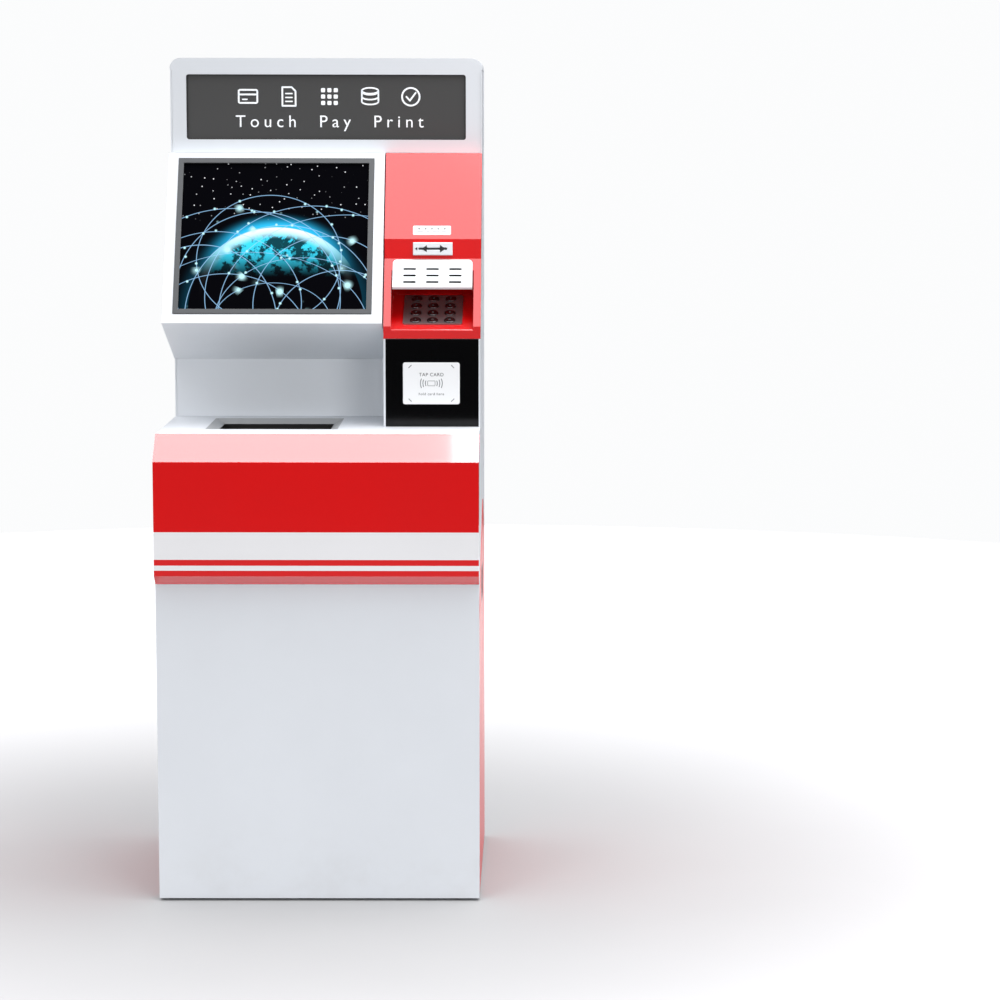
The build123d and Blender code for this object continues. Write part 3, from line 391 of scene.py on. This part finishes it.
print(len(bpy.data.materials), "materials so far")

# %% [markdown]
# Several pieces lie on sloping faces. Instead of typing their angles again, the frame is asked:
# of all the triangles of a node, the ones that share the largest total area facing the user give
# the face's plane. A FacePlane then turns (u, v, height) into the kiosk's own coordinates, u to
# the right and v up the face.

# %% Planes read from the frame
def triangles(node):
    """Corner points of a node's triangles, as an array of shape (count, 3, 3)."""
    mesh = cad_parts[node].data
    mesh.calc_loop_triangles()
    points = np.empty(len(mesh.vertices) * 3)
    mesh.vertices.foreach_get("co", points)
    corners = np.empty(len(mesh.loop_triangles) * 3, dtype=np.int32)
    mesh.loop_triangles.foreach_get("vertices", corners)
    return points.reshape(-1, 3)[corners.reshape(-1, 3)]


class FacePlane:
    """Largest flat face of a node that looks towards a direction, with its own axes and extent."""

    def __init__(self, node, towards=(0.0, -1.0, 0.2)):
        tri = triangles(node)
        cross = np.cross(tri[:, 1] - tri[:, 0], tri[:, 2] - tri[:, 0])
        area = np.linalg.norm(cross, axis=1)
        normal = cross / np.maximum(area, 1e-12)[:, None]
        facing = normal @ np.array(towards) > 0.3
        keys = np.round(np.c_[normal, (tri[:, 0] * normal).sum(axis=1)], 4)[facing]
        kinds, which = np.unique(keys, axis=0, return_inverse=True)
        best = np.bincount(which.ravel(), weights=area[facing]).argmax()
        self.normal = kinds[best][:3] / np.linalg.norm(kinds[best][:3])
        self.right = np.cross((0.0, 0.0, 1.0), self.normal)
        self.right /= np.linalg.norm(self.right)
        self.up = np.cross(self.normal, self.right)
        flat = tri[facing][which.ravel() == best].reshape(-1, 3)
        u, v = flat @ self.right, flat @ self.up
        self.size = (np.ptp(u), np.ptp(v))
        middle = ((u.max() + u.min()) / 2, (v.max() + v.min()) / 2)
        self.origin = middle[0] * self.right + middle[1] * self.up + (flat[0] @ self.normal) * self.normal

    def at(self, uvh):
        """Points (u, v, height above the face) as points of the kiosk."""
        uvh = np.asarray(uvh, dtype=float)
        return self.origin + uvh @ np.array([self.right, self.up, self.normal])


glass_plane = FacePlane("touch_glass")
sign_plane = FacePlane("header_sign")
pad_plane = FacePlane("keypad_plate", towards=(0.0, -0.4, 0.9))
reader_plane = FacePlane("contactless_panel")
card_plane = FacePlane("card_bezel")
for label, plane in (("glass", glass_plane), ("sign", sign_plane), ("pad", pad_plane),
                     ("reader", reader_plane), ("card", card_plane)):
    print(label, "size", np.round(plane.size, 4), "normal", np.round(plane.normal, 3))

# %% [markdown]
# The display shows a plain attract picture: a glowing blue planet low in the frame, a haze above
# its edge, long thin orbits crossing it, and stars. It is all distance arithmetic on the glass's
# own plane. A circle is where the distance from its centre equals its radius, so an orbit is a
# narrow peak of that difference, and the planet's limb is a wide one.

# %% Display picture
def face_coordinates(place, plane):
    """u and v on a plane, in half widths of its face, from Object coordinates."""
    half, axes = plane.size[0] / 2, (plane.right, plane.up)
    return [(place.along(tuple(axis)) - float(plane.origin @ axis)) / half for axis in axes]


def ring(u, v, centre, radius, squash=1.0):
    """Signed distance from a circle or upright ellipse, in half widths."""
    across, above = u - centre[0], (v - centre[1]) / squash
    return (across * across + above * above).maths("SQRT") - radius


def strongest(values):
    """The largest of several Values."""
    best = values[0]
    for value in values[1:]:
        best = best.most(value)
    return best


def orbit_distance(u, v, orbits):
    """Distance from the nearest of the orbits, each an upright ellipse."""
    near = [ring(u, v, *orbit).maths("ABSOLUTE") * -1.0 for orbit in orbits]
    return strongest(near) * -1.0


# In half widths of the glass: how far across an orbit's middle is, the height of its top, its half
# width and its squash
ORBITS = [(-0.05, 0.46, 0.75, 0.95), (0.40, 0.34, 1.10, 0.90), (-0.45, 0.31, 1.15, 0.90),
          (0.75, 0.24, 1.30, 0.80), (-0.15, 0.27, 0.85, 1.00), (0.10, 0.12, 1.00, 1.00),
          (-0.60, 0.05, 0.90, 0.90), (0.55, 0.00, 0.75, 1.00), (-0.25, -0.18, 1.25, 0.70),
          (0.30, -0.24, 0.90, 0.80), (-0.75, -0.10, 0.80, 1.10), (0.00, -0.52, 0.60, 0.70),
          (-0.50, -0.42, 0.90, 0.90), (0.70, -0.38, 0.70, 1.00)]
LINE_WIDTH = 0.0066
PLANET_MIDDLE = (0.03, -0.80)
PLANET_RADIUS = 0.90


def cells_of(flat, scale, output):
    """Flat Voronoi cells: output 0 is the distance from a cell's point, 2 that point's place."""
    return flat.node("ShaderNodeTexVoronoi", {"voronoi_dimensions": "2D"},
                     {"Vector": flat, "Scale": scale}, output=output)


def planet(u, v, flat, limb, inside):
    """Colour of the planet, dark lands on it, its bright limb and the haze above it."""
    depth = limb * -1.0
    aside = (u - PLANET_MIDDLE[0]).maths("ABSOLUTE")
    lands = flat.noise(5.2, 9.0, 0.68).step(0.47, 0.53) * depth.step(0.03, 0.13)
    dusk = v.step(-0.46, -0.08) * (aside.fall(0.45, 0.95) * 0.8 + 0.2)
    picture = (inside * dusk * (1.0 - lands * 0.92)).tint(NO_LIGHT, (0.05, 0.74, 1.0))
    picture = (depth.fall(0.01, 0.13) * inside * aside.fall(0.25, 0.80)).tint(picture, (0.90, 1.0, 1.0))
    haze = (limb.fall(0.0, 0.20) ** 2.2) * (1.0 - inside) * (aside.fall(0.25, 0.85) * 0.95 + 0.05)
    return haze.tint(picture, (0.03, 0.58, 1.0))


def network(u, v, flat, picture):
    """The picture with thin orbits over it, and glowing nodes in the cells whose point is on one."""
    orbits = [((across, peak - radius * squash), radius, squash) for across, peak, radius, squash in ORBITS]
    lines = orbit_distance(u, v, orbits).fall(0.0, LINE_WIDTH)
    picture = (lines * 0.8).tint(picture, (0.36, 0.66, 1.0))
    cells = cells_of(flat, 9.0, output=2)
    cell_u, cell_v, _ = cells.split()
    from_cell = ((u - cell_u) ** 2.0 + (v - cell_v) ** 2.0).maths("SQRT")
    on_orbit = orbit_distance(cell_u, cell_v, orbits).fall(0.010, 0.016)
    large = cells.noise(7.0, 0.0).step(0.56, 0.66)
    glow = from_cell.fall(0.003, 0.019) * 1.3 + (from_cell.fall(0.0, 0.10) ** 3.0) * large * 1.5
    return (glow * on_orbit).least(1.0).tint(picture, (0.55, 0.93, 1.0))


def display_material():
    """Dark glass that shines with the planet, the network and, high up, the stars."""
    material, place, shader = new_material("display_picture")
    u, v = face_coordinates(place, glass_plane)
    flat = place.node("ShaderNodeCombineXYZ", None, {0: u, 1: v})
    limb = ring(u, v, PLANET_MIDDLE, PLANET_RADIUS)
    inside = limb.fall(-0.006, 0.006)
    picture = network(u, v, flat, planet(u, v, flat, limb, inside))
    chance = flat.noise(21.0, 0.0).step(0.42, 0.62)
    stars = cells_of(flat, 10.0, output=0).fall(0.035, 0.085) * chance * v.step(0.15, 0.36) * (1.0 - inside)
    picture = stars.tint(picture, (0.95, 0.97, 1.0))
    smudge = place.noise(9.0, 5.0, 0.6).step(0.3, 0.7) * 0.08 + 0.16
    plug(shader, Base_Color=(0.002, 0.002, 0.003, 1.0), Emission_Color=picture, Emission_Strength=1.15,
         Roughness=smudge, Specular_IOR_Level=0.0)
    return material


display_picture = display_material()
print("display nodes", len(display_picture.node_tree.nodes))

# %% [markdown]
# Each node of the frame now gets its finish. One table says which, so that a reader can see the
# whole kiosk at a glance.

# %% Finishes of the frame's own parts
FINISHES = {
    powder: ["side_panel_left", "side_panel_right", "header_shell", "front_door", "rear_door",
             "rear_frame", "nook_cheek", "riser_panel", "ledge_top"],
    satin: ["screen_housing", "card_bezel", "keypad_hood", "hatch_lock"],
    vinyl: ["side_graphics", "service_hatch"],
    lacquer: ["column_fascia", "keypad_pocket"],
    striped: ["nose_hood"],
    sign_grey: ["header_sign"],
    bezel_grey: ["screen_bezel"],
    outlet_shade_grey: ["outlet_rim"],
    display_picture: ["touch_glass"],
    acrylic: ["contactless_panel"],
    grained: ["pull_handles", "paper_chute", "card_reader", "power_inlet", "switch_body",
              "rocker_switch", "fan_frame", "fan_rotor", "display_module", "keypad_base", "printer"],
    zinc: ["base_frame", "equipment_shelf", "switch_box", "power_supply", "computer", "hinge_leaves"],
    bright_steel: ["hinge_pins", "levelling_feet", "door_bolt", "rear_lock"],
    plate_steel: ["keypad_plate"],
    key_steel: [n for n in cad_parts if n.startswith("key_")],
    lamp_white: ["header_lamp"],
    rubber: ["outfeed_roller"],
}


def dress(obj, material):
    """Gives an object one material."""
    obj.data.materials.clear()
    obj.data.materials.append(material)


dressed = set()
for material, names in FINISHES.items():
    for name in names:
        dress(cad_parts[name], material)
        dressed.add(name)
print("undressed nodes:", sorted(set(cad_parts) - dressed))

# %% [markdown]
# Printed marks, labels and pictograms are all thin plates on a face. A ribbon is a line with a
# width: its outline is the line moved half a width to each side along its normal, and rounded
# ends are half circles. Given a plane and a thickness it becomes a closed solid.

# %% Thin plates and ribbons
def add_piece(name, mesh, material, body):
    """A finished mesh as a piece that rides on a body and has a material slot."""
    obj = link(bpy.data.objects.new(name, mesh))
    dress(obj, material)
    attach(obj, body)
    print(name, len(mesh.polygons), "faces")


def arc(centre, radius, start, stop, count=24):
    """Points centre + radius * (cos t, sin t), t running from start to stop degrees."""
    t = np.radians(np.linspace(start, stop, count))
    return np.c_[centre[0] + radius * np.cos(t), centre[1] + radius * np.sin(t)]


def rounded_rectangle(width, height, radius, centre=(0.0, 0.0)):
    """Outline of a rectangle whose corners are quarter circles, counterclockwise."""
    x, y = width / 2 - radius, height / 2 - radius
    corners = [((x, y), 0), ((-x, y), 90), ((-x, -y), 180), ((x, -y), 270)]
    outline = [arc(c, radius, a, a + 90, 7) for c, a in corners]
    return np.concatenate(outline) + np.array(centre)


def ribbon(points, width):
    """Outline of a line of this width: each point plus and minus half the width along the normal."""
    points = np.asarray(points, dtype=float)
    along = np.gradient(points, axis=0)
    along /= np.linalg.norm(along, axis=1)[:, None]
    normal = np.c_[-along[:, 1], along[:, 0]] * width / 2
    ends = []
    for tip, way in ((points[-1], along[-1]), (points[0], -along[0])):
        middle = math.degrees(math.atan2(way[1], way[0]))
        ends.append(arc(tip, width / 2, middle - 90, middle + 90, 7)[1:-1])
    return np.concatenate([points - normal, ends[0], (points + normal)[::-1], ends[1]])


def plates(name, plane, outlines, low, high, material, body):
    """Closed flat solids: each outline is a bottom ring and a top ring joined by side faces."""
    points, faces = [], []
    for outline in outlines:
        count, first = len(outline), sum(map(len, points))
        for height in (low, high):
            points.append(plane.at(np.c_[outline, np.full(count, height)]))
        i = np.arange(count)
        j = (i + 1) % count
        sides = np.c_[first + i, first + j, first + count + j, first + count + i]
        faces += sides.tolist()
        faces.append((first + count + i).tolist())
        faces.append((first + i[::-1]).tolist())
    mesh = bpy.data.meshes.new(name)
    mesh.from_pydata(np.concatenate(points).tolist(), [], faces)
    add_piece(name, mesh, material, body)


CAPITAL_HEIGHT = 0.7  # of the built-in face, as a part of its size


def lettering(name, plane, text, height, middle, low, high, material, body, spacing=1.0):
    """Words in the plain built-in face, made a mesh and laid on a plane with their place applied."""
    curve = bpy.data.curves.new(name, "FONT")
    curve.body = text
    curve.size = height / CAPITAL_HEIGHT
    curve.align_x = curve.align_y = "CENTER"
    curve.space_character = spacing
    curve.extrude = (high - low) / 2
    holder = link(bpy.data.objects.new(name + "_line", curve))
    bpy.context.view_layer.update()
    mesh = bpy.data.meshes.new_from_object(holder)
    bpy.data.objects.remove(holder)
    points = np.empty(len(mesh.vertices) * 3)
    mesh.vertices.foreach_get("co", points)
    points = points.reshape(-1, 3) + np.array([*middle, (low + high) / 2])
    mesh.vertices.foreach_set("co", plane.at(points).ravel())
    add_piece(name, mesh, material, body)


# %% [markdown]
# The header carries a row of plain pictograms over a line of plain words: a card, a page, a key
# field, a coin stack and a tick in a ring. They are cut from white film and stand a little proud.

# %% Header sign
STROKE = 0.0036  # width of a pictogram's lines
ICON = 0.019  # half a pictogram's size
ICON_PITCH = 0.0835
SIGN_SHIFT = 0.0065  # of both rows to the right of the sign's middle
ICON_ROW, WORD_ROW = 0.0215, -0.0305
SIGN_FILM = 0.0009


def icon_card(x, y):
    """Card with a stripe across it and a short line of writing."""
    outline = rounded_rectangle(2 * ICON, 1.4 * ICON, 0.003, (x, y))
    closed = np.vstack([outline, outline[:1]])
    return [ribbon(closed, STROKE), ribbon([(x - ICON, y + 0.004), (x + ICON, y + 0.004)], STROKE),
            ribbon([(x - 0.011, y - 0.006), (x - 0.002, y - 0.006)], STROKE * 0.8)]


def icon_page(x, y):
    """Page with a cut corner and three rows of writing."""
    edge = [(x - 0.013, y - ICON), (x - 0.013, y + ICON), (x + 0.006, y + ICON),
            (x + 0.014, y + 0.011), (x + 0.014, y - ICON), (x - 0.013, y - ICON)]
    rows = [ribbon([(x - 0.006, y + d), (x + 0.007, y + d)], STROKE * 0.8) for d in (0.006, -0.002, -0.010)]
    return [ribbon(edge[i:i + 2], STROKE) for i in range(5)] + rows


def icon_keys(x, y):
    """Nine square keys."""
    spots = [(x + 0.013 * i, y + 0.013 * j) for i in (-1, 0, 1) for j in (-1, 0, 1)]
    return [rounded_rectangle(0.0085, 0.0085, 0.002, spot) for spot in spots]


def icon_coins(x, y):
    """Stack of coins: the lower halves of three flat ellipses, a whole one on top, and two sides."""
    across, low, top = 0.017, -0.010, 0.012
    squash = (1.0, 0.006 / across)
    lines = [arc((0.0, 0.0), across, 180, 360) * squash + (x, y + level) for level in (low, 0.0, -low)]
    lines.append(arc((0.0, 0.0), across, 0, 360, 40) * squash + (x, y + top))
    lines += [[(x + side * across, y + low), (x + side * across, y + top)] for side in (-1, 1)]
    return [ribbon(line, STROKE * 0.9) for line in lines]


def icon_tick(x, y):
    """Tick in a ring."""
    circle = arc((x, y), ICON - 0.001, 0, 360, 48)
    return [ribbon(circle, STROKE), ribbon([(x - 0.009, y), (x - 0.002, y - 0.008)], STROKE),
            ribbon([(x - 0.002, y - 0.008), (x + 0.010, y + 0.008)], STROKE)]


icons = []
for i, draw in enumerate((icon_card, icon_page, icon_keys, icon_coins, icon_tick)):
    icons += draw(SIGN_SHIFT + (i - 2) * ICON_PITCH, ICON_ROW)
plates("sign_pictograms", sign_plane, icons, 0.0, SIGN_FILM, sign_white, "cabinet")
lettering("sign_words", sign_plane, "Touch  Pay  Print", 0.0245, (SIGN_SHIFT, WORD_ROW), 0.0, SIGN_FILM,
          sign_white, "cabinet", spacing=1.5)

# %% [markdown]
# The contactless reader is marked by a white label with waves each side of a small card, and
# corner ticks that say where to hold a card. The film is thin, and the ink on it thinner still.

# %% Contactless label
LABEL_FILM = 0.0003
LABEL_PRINT = 0.0004  # top of the ink on a label, over the face that the label is stuck to
LABEL_SIZE = (0.1145, 0.0847)
LABEL_MIDDLE = (-0.0015, -0.0008)
WAVE = 0.0016  # width of the waves and corner ticks

sheet = rounded_rectangle(*LABEL_SIZE, 0.0045, LABEL_MIDDLE)
plates("reader_label", reader_plane, [sheet], 0.0, LABEL_FILM, label_white, "cabinet")

waves = []
for side in (0, 180):
    for radius in (0.012, 0.017, 0.022):
        waves.append(ribbon(arc(LABEL_MIDDLE, radius, side - 24, side + 24), WAVE))
card = rounded_rectangle(0.015, 0.010, 0.0015, LABEL_MIDDLE)
waves.append(ribbon(np.vstack([card, card[:1]]), 0.0010))
for sx in (-1, 1):
    for sy in (-1, 1):
        corner = np.array(LABEL_MIDDLE) + (sx * 0.0435, sy * 0.0345)
        waves.append(ribbon([corner + (-sx * 0.003, sy * 0.002), corner + (sx * 0.002, -sy * 0.003)], WAVE))
plates("reader_marks", reader_plane, waves, LABEL_FILM, LABEL_PRINT, soft_ink, "cabinet")
for name, words, height, row, spacing in (("reader_words", "TAP CARD", 0.0068, 0.0165, 1.1),
                                          ("reader_hint", "hold card here", 0.0052, -0.0225, 1.15)):
    lettering(name, reader_plane, words, height, (LABEL_MIDDLE[0], row), LABEL_FILM, LABEL_PRINT, ink,
              "cabinet", spacing)


# %% [markdown]
# The narrow label stands on the red slope above the card slot, so it needs the plane of the upper
# slope. The facet with the card slot leans differently, and arrowheads on its bezel point along
# the slot, as they do on the real moulding.

# %% Column label and card arrows
slope_plane = FacePlane("column_fascia", towards=tuple(glass_plane.normal))
STRIP_HEIGHT = 1.3298  # of the narrow label's middle above the floor
strip_u = -0.0020
strip_v = (STRIP_HEIGHT - slope_plane.origin[2]) / slope_plane.up[2]
strip = rounded_rectangle(0.077, 0.0200, 0.0025, (strip_u, strip_v))
plates("column_label", slope_plane, [strip], 0.0, LABEL_FILM, label_white, "cabinet")
marks = []
for i in range(5):
    marks.append(rounded_rectangle(0.0036, 0.0034, 0.001, (strip_u - 0.026 + i * 0.013, strip_v + 0.0035)))
for i, width in enumerate((0.012, 0.007, 0.015, 0.010)):
    marks.append(rounded_rectangle(width, 0.0014, 0.0005, (strip_u - 0.024 + i * 0.0162, strip_v - 0.0035)))
plates("column_label_marks", slope_plane, marks, LABEL_FILM, LABEL_PRINT, soft_ink,
       "cabinet")


def arrowhead(x, way, size):
    """Solid triangle whose tip points along the slot; way is 1 to the right, -1 to the left."""
    tip, back = x + way * size * 0.9, x - way * size * 0.5
    outline = np.array([(back, -size), (tip, 0.0), (back, size)])
    return outline if way > 0 else outline[::-1]


heads = [arrowhead(-0.033, -1, 0.0035), arrowhead(-0.0155, -1, 0.0072), arrowhead(0.0185, 1, 0.0078)]
plates("card_arrows", card_plane, heads, 0.0, LABEL_FILM, ink, "cabinet")

# %% [markdown]
# Each key carries its own digit, and the digit has to ride on that key's body so that it sinks
# with the key. A loop takes the plane of every key's top from the frame.

# %% Key legends
LEGEND_HEIGHT = 0.0062
LEGEND_INK = 0.00015
STAR_DROP = -0.0016  # a star is drawn high in its line, so it comes down to the cap's middle
for name in sorted(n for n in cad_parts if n.startswith("key_")):
    key = name.removeprefix("key_")
    legend = {"star": "*", "hash": "#"}.get(key, key)
    top = FacePlane(name, towards=tuple(pad_plane.normal))
    middle = (0.0, STAR_DROP if legend == "*" else 0.0)
    lettering("legend_" + key, top, legend, LEGEND_HEIGHT, middle, 0.0, LEGEND_INK, soft_ink,
              name)

# %% [markdown]
# The slots of the keypad hood look black, because a near-black strip closes each one from behind:
# painted shade, standing for the dark space inside the kiosk. Only the top of each strip shows, a
# little below the hood's face.

# %% Painted shade in the hood's slots
hood_plane = FacePlane("keypad_hood", towards=(0.0, -0.78, 0.62))
SLOT_SIZE = (0.0254, 0.0046)
SLOT_COLUMN, SLOT_ROW, FIRST_ROW = 0.0462, 0.016, 0.0237
SHADE_SHEET_FOOT, SHADE_SHEET_TOP = -0.0030, -0.0008
rows = [hood_plane.size[1] / 2 - FIRST_ROW - SLOT_ROW * i for i in range(3)]
spots = [(column * SLOT_COLUMN, row) for column in (-1, 0, 1) for row in rows]
strips = [rounded_rectangle(*SLOT_SIZE, 0.0012, spot) for spot in spots]
# Painted shade: dark strips just below the face of every slot.
plates("hood_painted_slot_shade", hood_plane, strips, SHADE_SHEET_FOOT, SHADE_SHEET_TOP, slot_shade_sheet, "cabinet")
print("hood face", np.round(hood_plane.size, 4))

# %% [markdown]
# A surface made of a closed profile carried along a line only needs a grid of points: one
# direction runs round the profile, the other along the line. Joining neighbours gives the faces,
# and one polygon closes each end.

# %% Grids of points as pieces
def carried(name, grid, material, body):
    """Closed tube from a grid of points [station, place round the profile], with flat-shaded ends."""
    stations, around = grid.shape[:2]
    i, j = np.meshgrid(np.arange(stations - 1), np.arange(around), indexing="ij")
    here, beside = i * around + j, i * around + (j + 1) % around
    faces = np.stack([here, beside, beside + around, here + around], axis=-1).reshape(-1, 4).tolist()
    last = (stations - 1) * around
    faces.append(list(range(around))[::-1])
    faces.append(list(range(last, last + around)))
    mesh = bpy.data.meshes.new(name)
    mesh.from_pydata(grid.reshape(-1, 3).tolist(), [], faces)
    smooth = np.full(len(faces), True)
    smooth[-2:] = False
    mesh.polygons.foreach_set("use_smooth", smooth)
    add_piece(name, mesh, material, body)


# %% [markdown]
# A flush pull is a cup with a lip hanging from its upper edge: fingers reach up behind the lip.
# The lip's section is a rounded bar that curls inwards, and it runs the whole width of the cup.

# %% Lips of the pull handles
def lip_section(reach, drop, thickness):
    """Closed (depth, height) outline: down the front, round the curl, and up the back."""
    t = np.linspace(0.0, 1.0, 22)
    front = np.c_[reach * (0.10 + 0.45 * t ** 3), -drop * t]
    turn = np.linspace(0.0, np.pi, 12)[1:-1]
    curl = front[-1] + np.c_[thickness / 2 * (1 - np.cos(turn)), -thickness / 2 * np.sin(turn)]
    back = front[::-1] + (thickness, 0.0)
    return np.vstack([front, curl, back])


grip_low, grip_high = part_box("pull_handles")
CUP_RIM = 0.0073
LIP_BACK = 0.0006  # how far the lip's front stands behind the cup's flange
half_width = (grip_high.y - grip_low.y) / 2 - CUP_RIM
section = lip_section(reach=0.012, drop=0.0155, thickness=0.0030)
for side, name in ((-1, "grip_lip_left"), (1, "grip_lip_right")):
    y = (grip_low.y + grip_high.y) / 2 + side * np.linspace(-half_width, half_width, 9)
    grid = np.empty((len(y), len(section), 3))
    grid[..., 0] = side * (grip_high.x - LIP_BACK - section[None, :, 0])
    grid[..., 1] = y[:, None]
    grid[..., 2] = grip_high.z - CUP_RIM + section[None, :, 1]
    carried(name, grid, grained, "cabinet")

# %% [markdown]
# The front edge of the keypad's pocket is rolled over, and its round top catches a line of light.
# A bead is the simplest tube: a circle carried straight across.

# %% Bead on the pocket's front edge
def bead(name, left, right, y, z, radius, material, body):
    """Round bar along X from left to right, with small domes instead of flat ends."""
    dome = np.radians([80.0, 55.0, 28.0, 0.0])
    x = np.concatenate([left - radius * np.sin(dome), right + radius * np.sin(dome[::-1])])
    swell = radius * np.concatenate([np.cos(dome), np.cos(dome[::-1])])
    t = np.linspace(0.0, 2 * np.pi, 15)[:-1]
    grid = np.empty((len(x), len(t), 3))
    grid[..., 0] = x[:, None]
    grid[..., 1] = y - swell[:, None] * np.cos(t)
    grid[..., 2] = z + swell[:, None] * np.sin(t)
    carried(name, grid, material, body)


reader_low, reader_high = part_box("contactless_panel")
pocket_low, pocket_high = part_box("keypad_pocket")
POCKET_WALL = 0.0025
POCKET_SILL = 0.0184  # height of the pocket's front edge above the contactless panel
BEAD = 0.0012
BEAD_BACK = 0.0002  # how far the bead's middle stands behind the contactless panel's face
bead("pocket_bead", pocket_low.x + POCKET_WALL + BEAD, pocket_high.x - POCKET_WALL - BEAD,
     reader_low.y + BEAD_BACK, reader_high.z + POCKET_SILL, BEAD, lacquer, "cabinet")

# %% [markdown]
# The sign's window has small rounded corners and a dark seal round it. The seal is one rounded
# rectangle with a smaller one taken out of it, so its top and bottom faces are rings: each ring
# joins a point of the outer outline to the same point of the inner one.

# %% Seal round the sign
def ring_piece(name, plane, outer, inner, low, high, material, body):
    """Closed frame between two outlines with as many points each."""
    count = len(outer)
    edges = ((outer, low), (outer, high), (inner, high), (inner, low))
    rings = [np.c_[line, np.full(count, height)] for line, height in edges]
    grid = plane.at(np.stack(rings, axis=1).reshape(-1, 3))
    i, j = np.meshgrid(np.arange(count), np.arange(4), indexing="ij")
    here, beside = i * 4 + j, i * 4 + (j + 1) % 4
    ahead = ((i + 1) % count) * 4
    faces = np.stack([here, ahead + j, ahead + (j + 1) % 4, beside], axis=-1).reshape(-1, 4).tolist()
    mesh = bpy.data.meshes.new(name)
    mesh.from_pydata(grid.tolist(), [], faces)
    add_piece(name, mesh, material, body)


shell_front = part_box("header_shell")[0].y
sign_low, sign_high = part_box("header_sign")
SIGN_LIP = 0.006  # how far the header's edge laps over the sign on each side
SEAL_SIDE, SEAL_TOP, SEAL_GAP = 0.0015, 0.0012, 0.0001
width = sign_high.x - sign_low.x - 2 * SIGN_LIP
height = sign_high.z - sign_low.z - 2 * SIGN_LIP
recess = sign_plane.origin[1] - shell_front
inner = rounded_rectangle(width - 2 * SEAL_SIDE, height - 2 * SEAL_TOP, 0.0040)
outer = rounded_rectangle(width - 2 * SEAL_GAP, height - 2 * SEAL_GAP, 0.0050)
ring_piece("sign_seal", sign_plane, outer, inner, 0.0, recess * 0.8, grained, "cabinet")
print("sign window", round(width, 4), "by", round(height, 4), "recess", round(recess, 4))

# %% [markdown]
# The floor is the only solid thing here that isn't part of the kiosk. It is pale, with a painted
# shadow that makes it darker under the kiosk, and dark in front of it, because the upright red faces
# mirror what lies there.

# %% Floor
FLOOR_RADIUS = 5.0
FLOOR_DROP = 0.0005
FLOOR_SIDES = 96


def floor_material():
    """Matt floor whose colour follows the distance from the kiosk: a painted shadow darkens it near the
    kiosk.
    """
    material, place, shader = new_material("pale_floor")
    x, y, _ = place.split()
    # Painted shadow: darkest within half a metre of the kiosk's middle, fading out by 2.6 m.
    far = (x * x + y * y).maths("SQRT").step(0.5, 2.6)
    colour = (far + place.noise(2.0, 3.0) * 0.06).tint((0.40, 0.40, 0.404), (0.80, 0.80, 0.805))
    colour = y.fall(-1.5, -0.98).tint(colour, (0.07, 0.07, 0.072))
    plug(shader, Base_Color=colour, Roughness=0.9, Specular_IOR_Level=0.1)
    return material


rim = arc((0.0, 0.0), FLOOR_RADIUS, 0, 360, FLOOR_SIDES + 1)[:-1]
floor_mesh = bpy.data.meshes.new("floor")
floor_mesh.from_pydata([(x, y, -FLOOR_DROP) for x, y in rim], [], [list(range(FLOOR_SIDES))])
floor = link(bpy.data.objects.new("floor", floor_mesh))
dress(floor, floor_material())
print("floor of", FLOOR_SIDES, "sides")
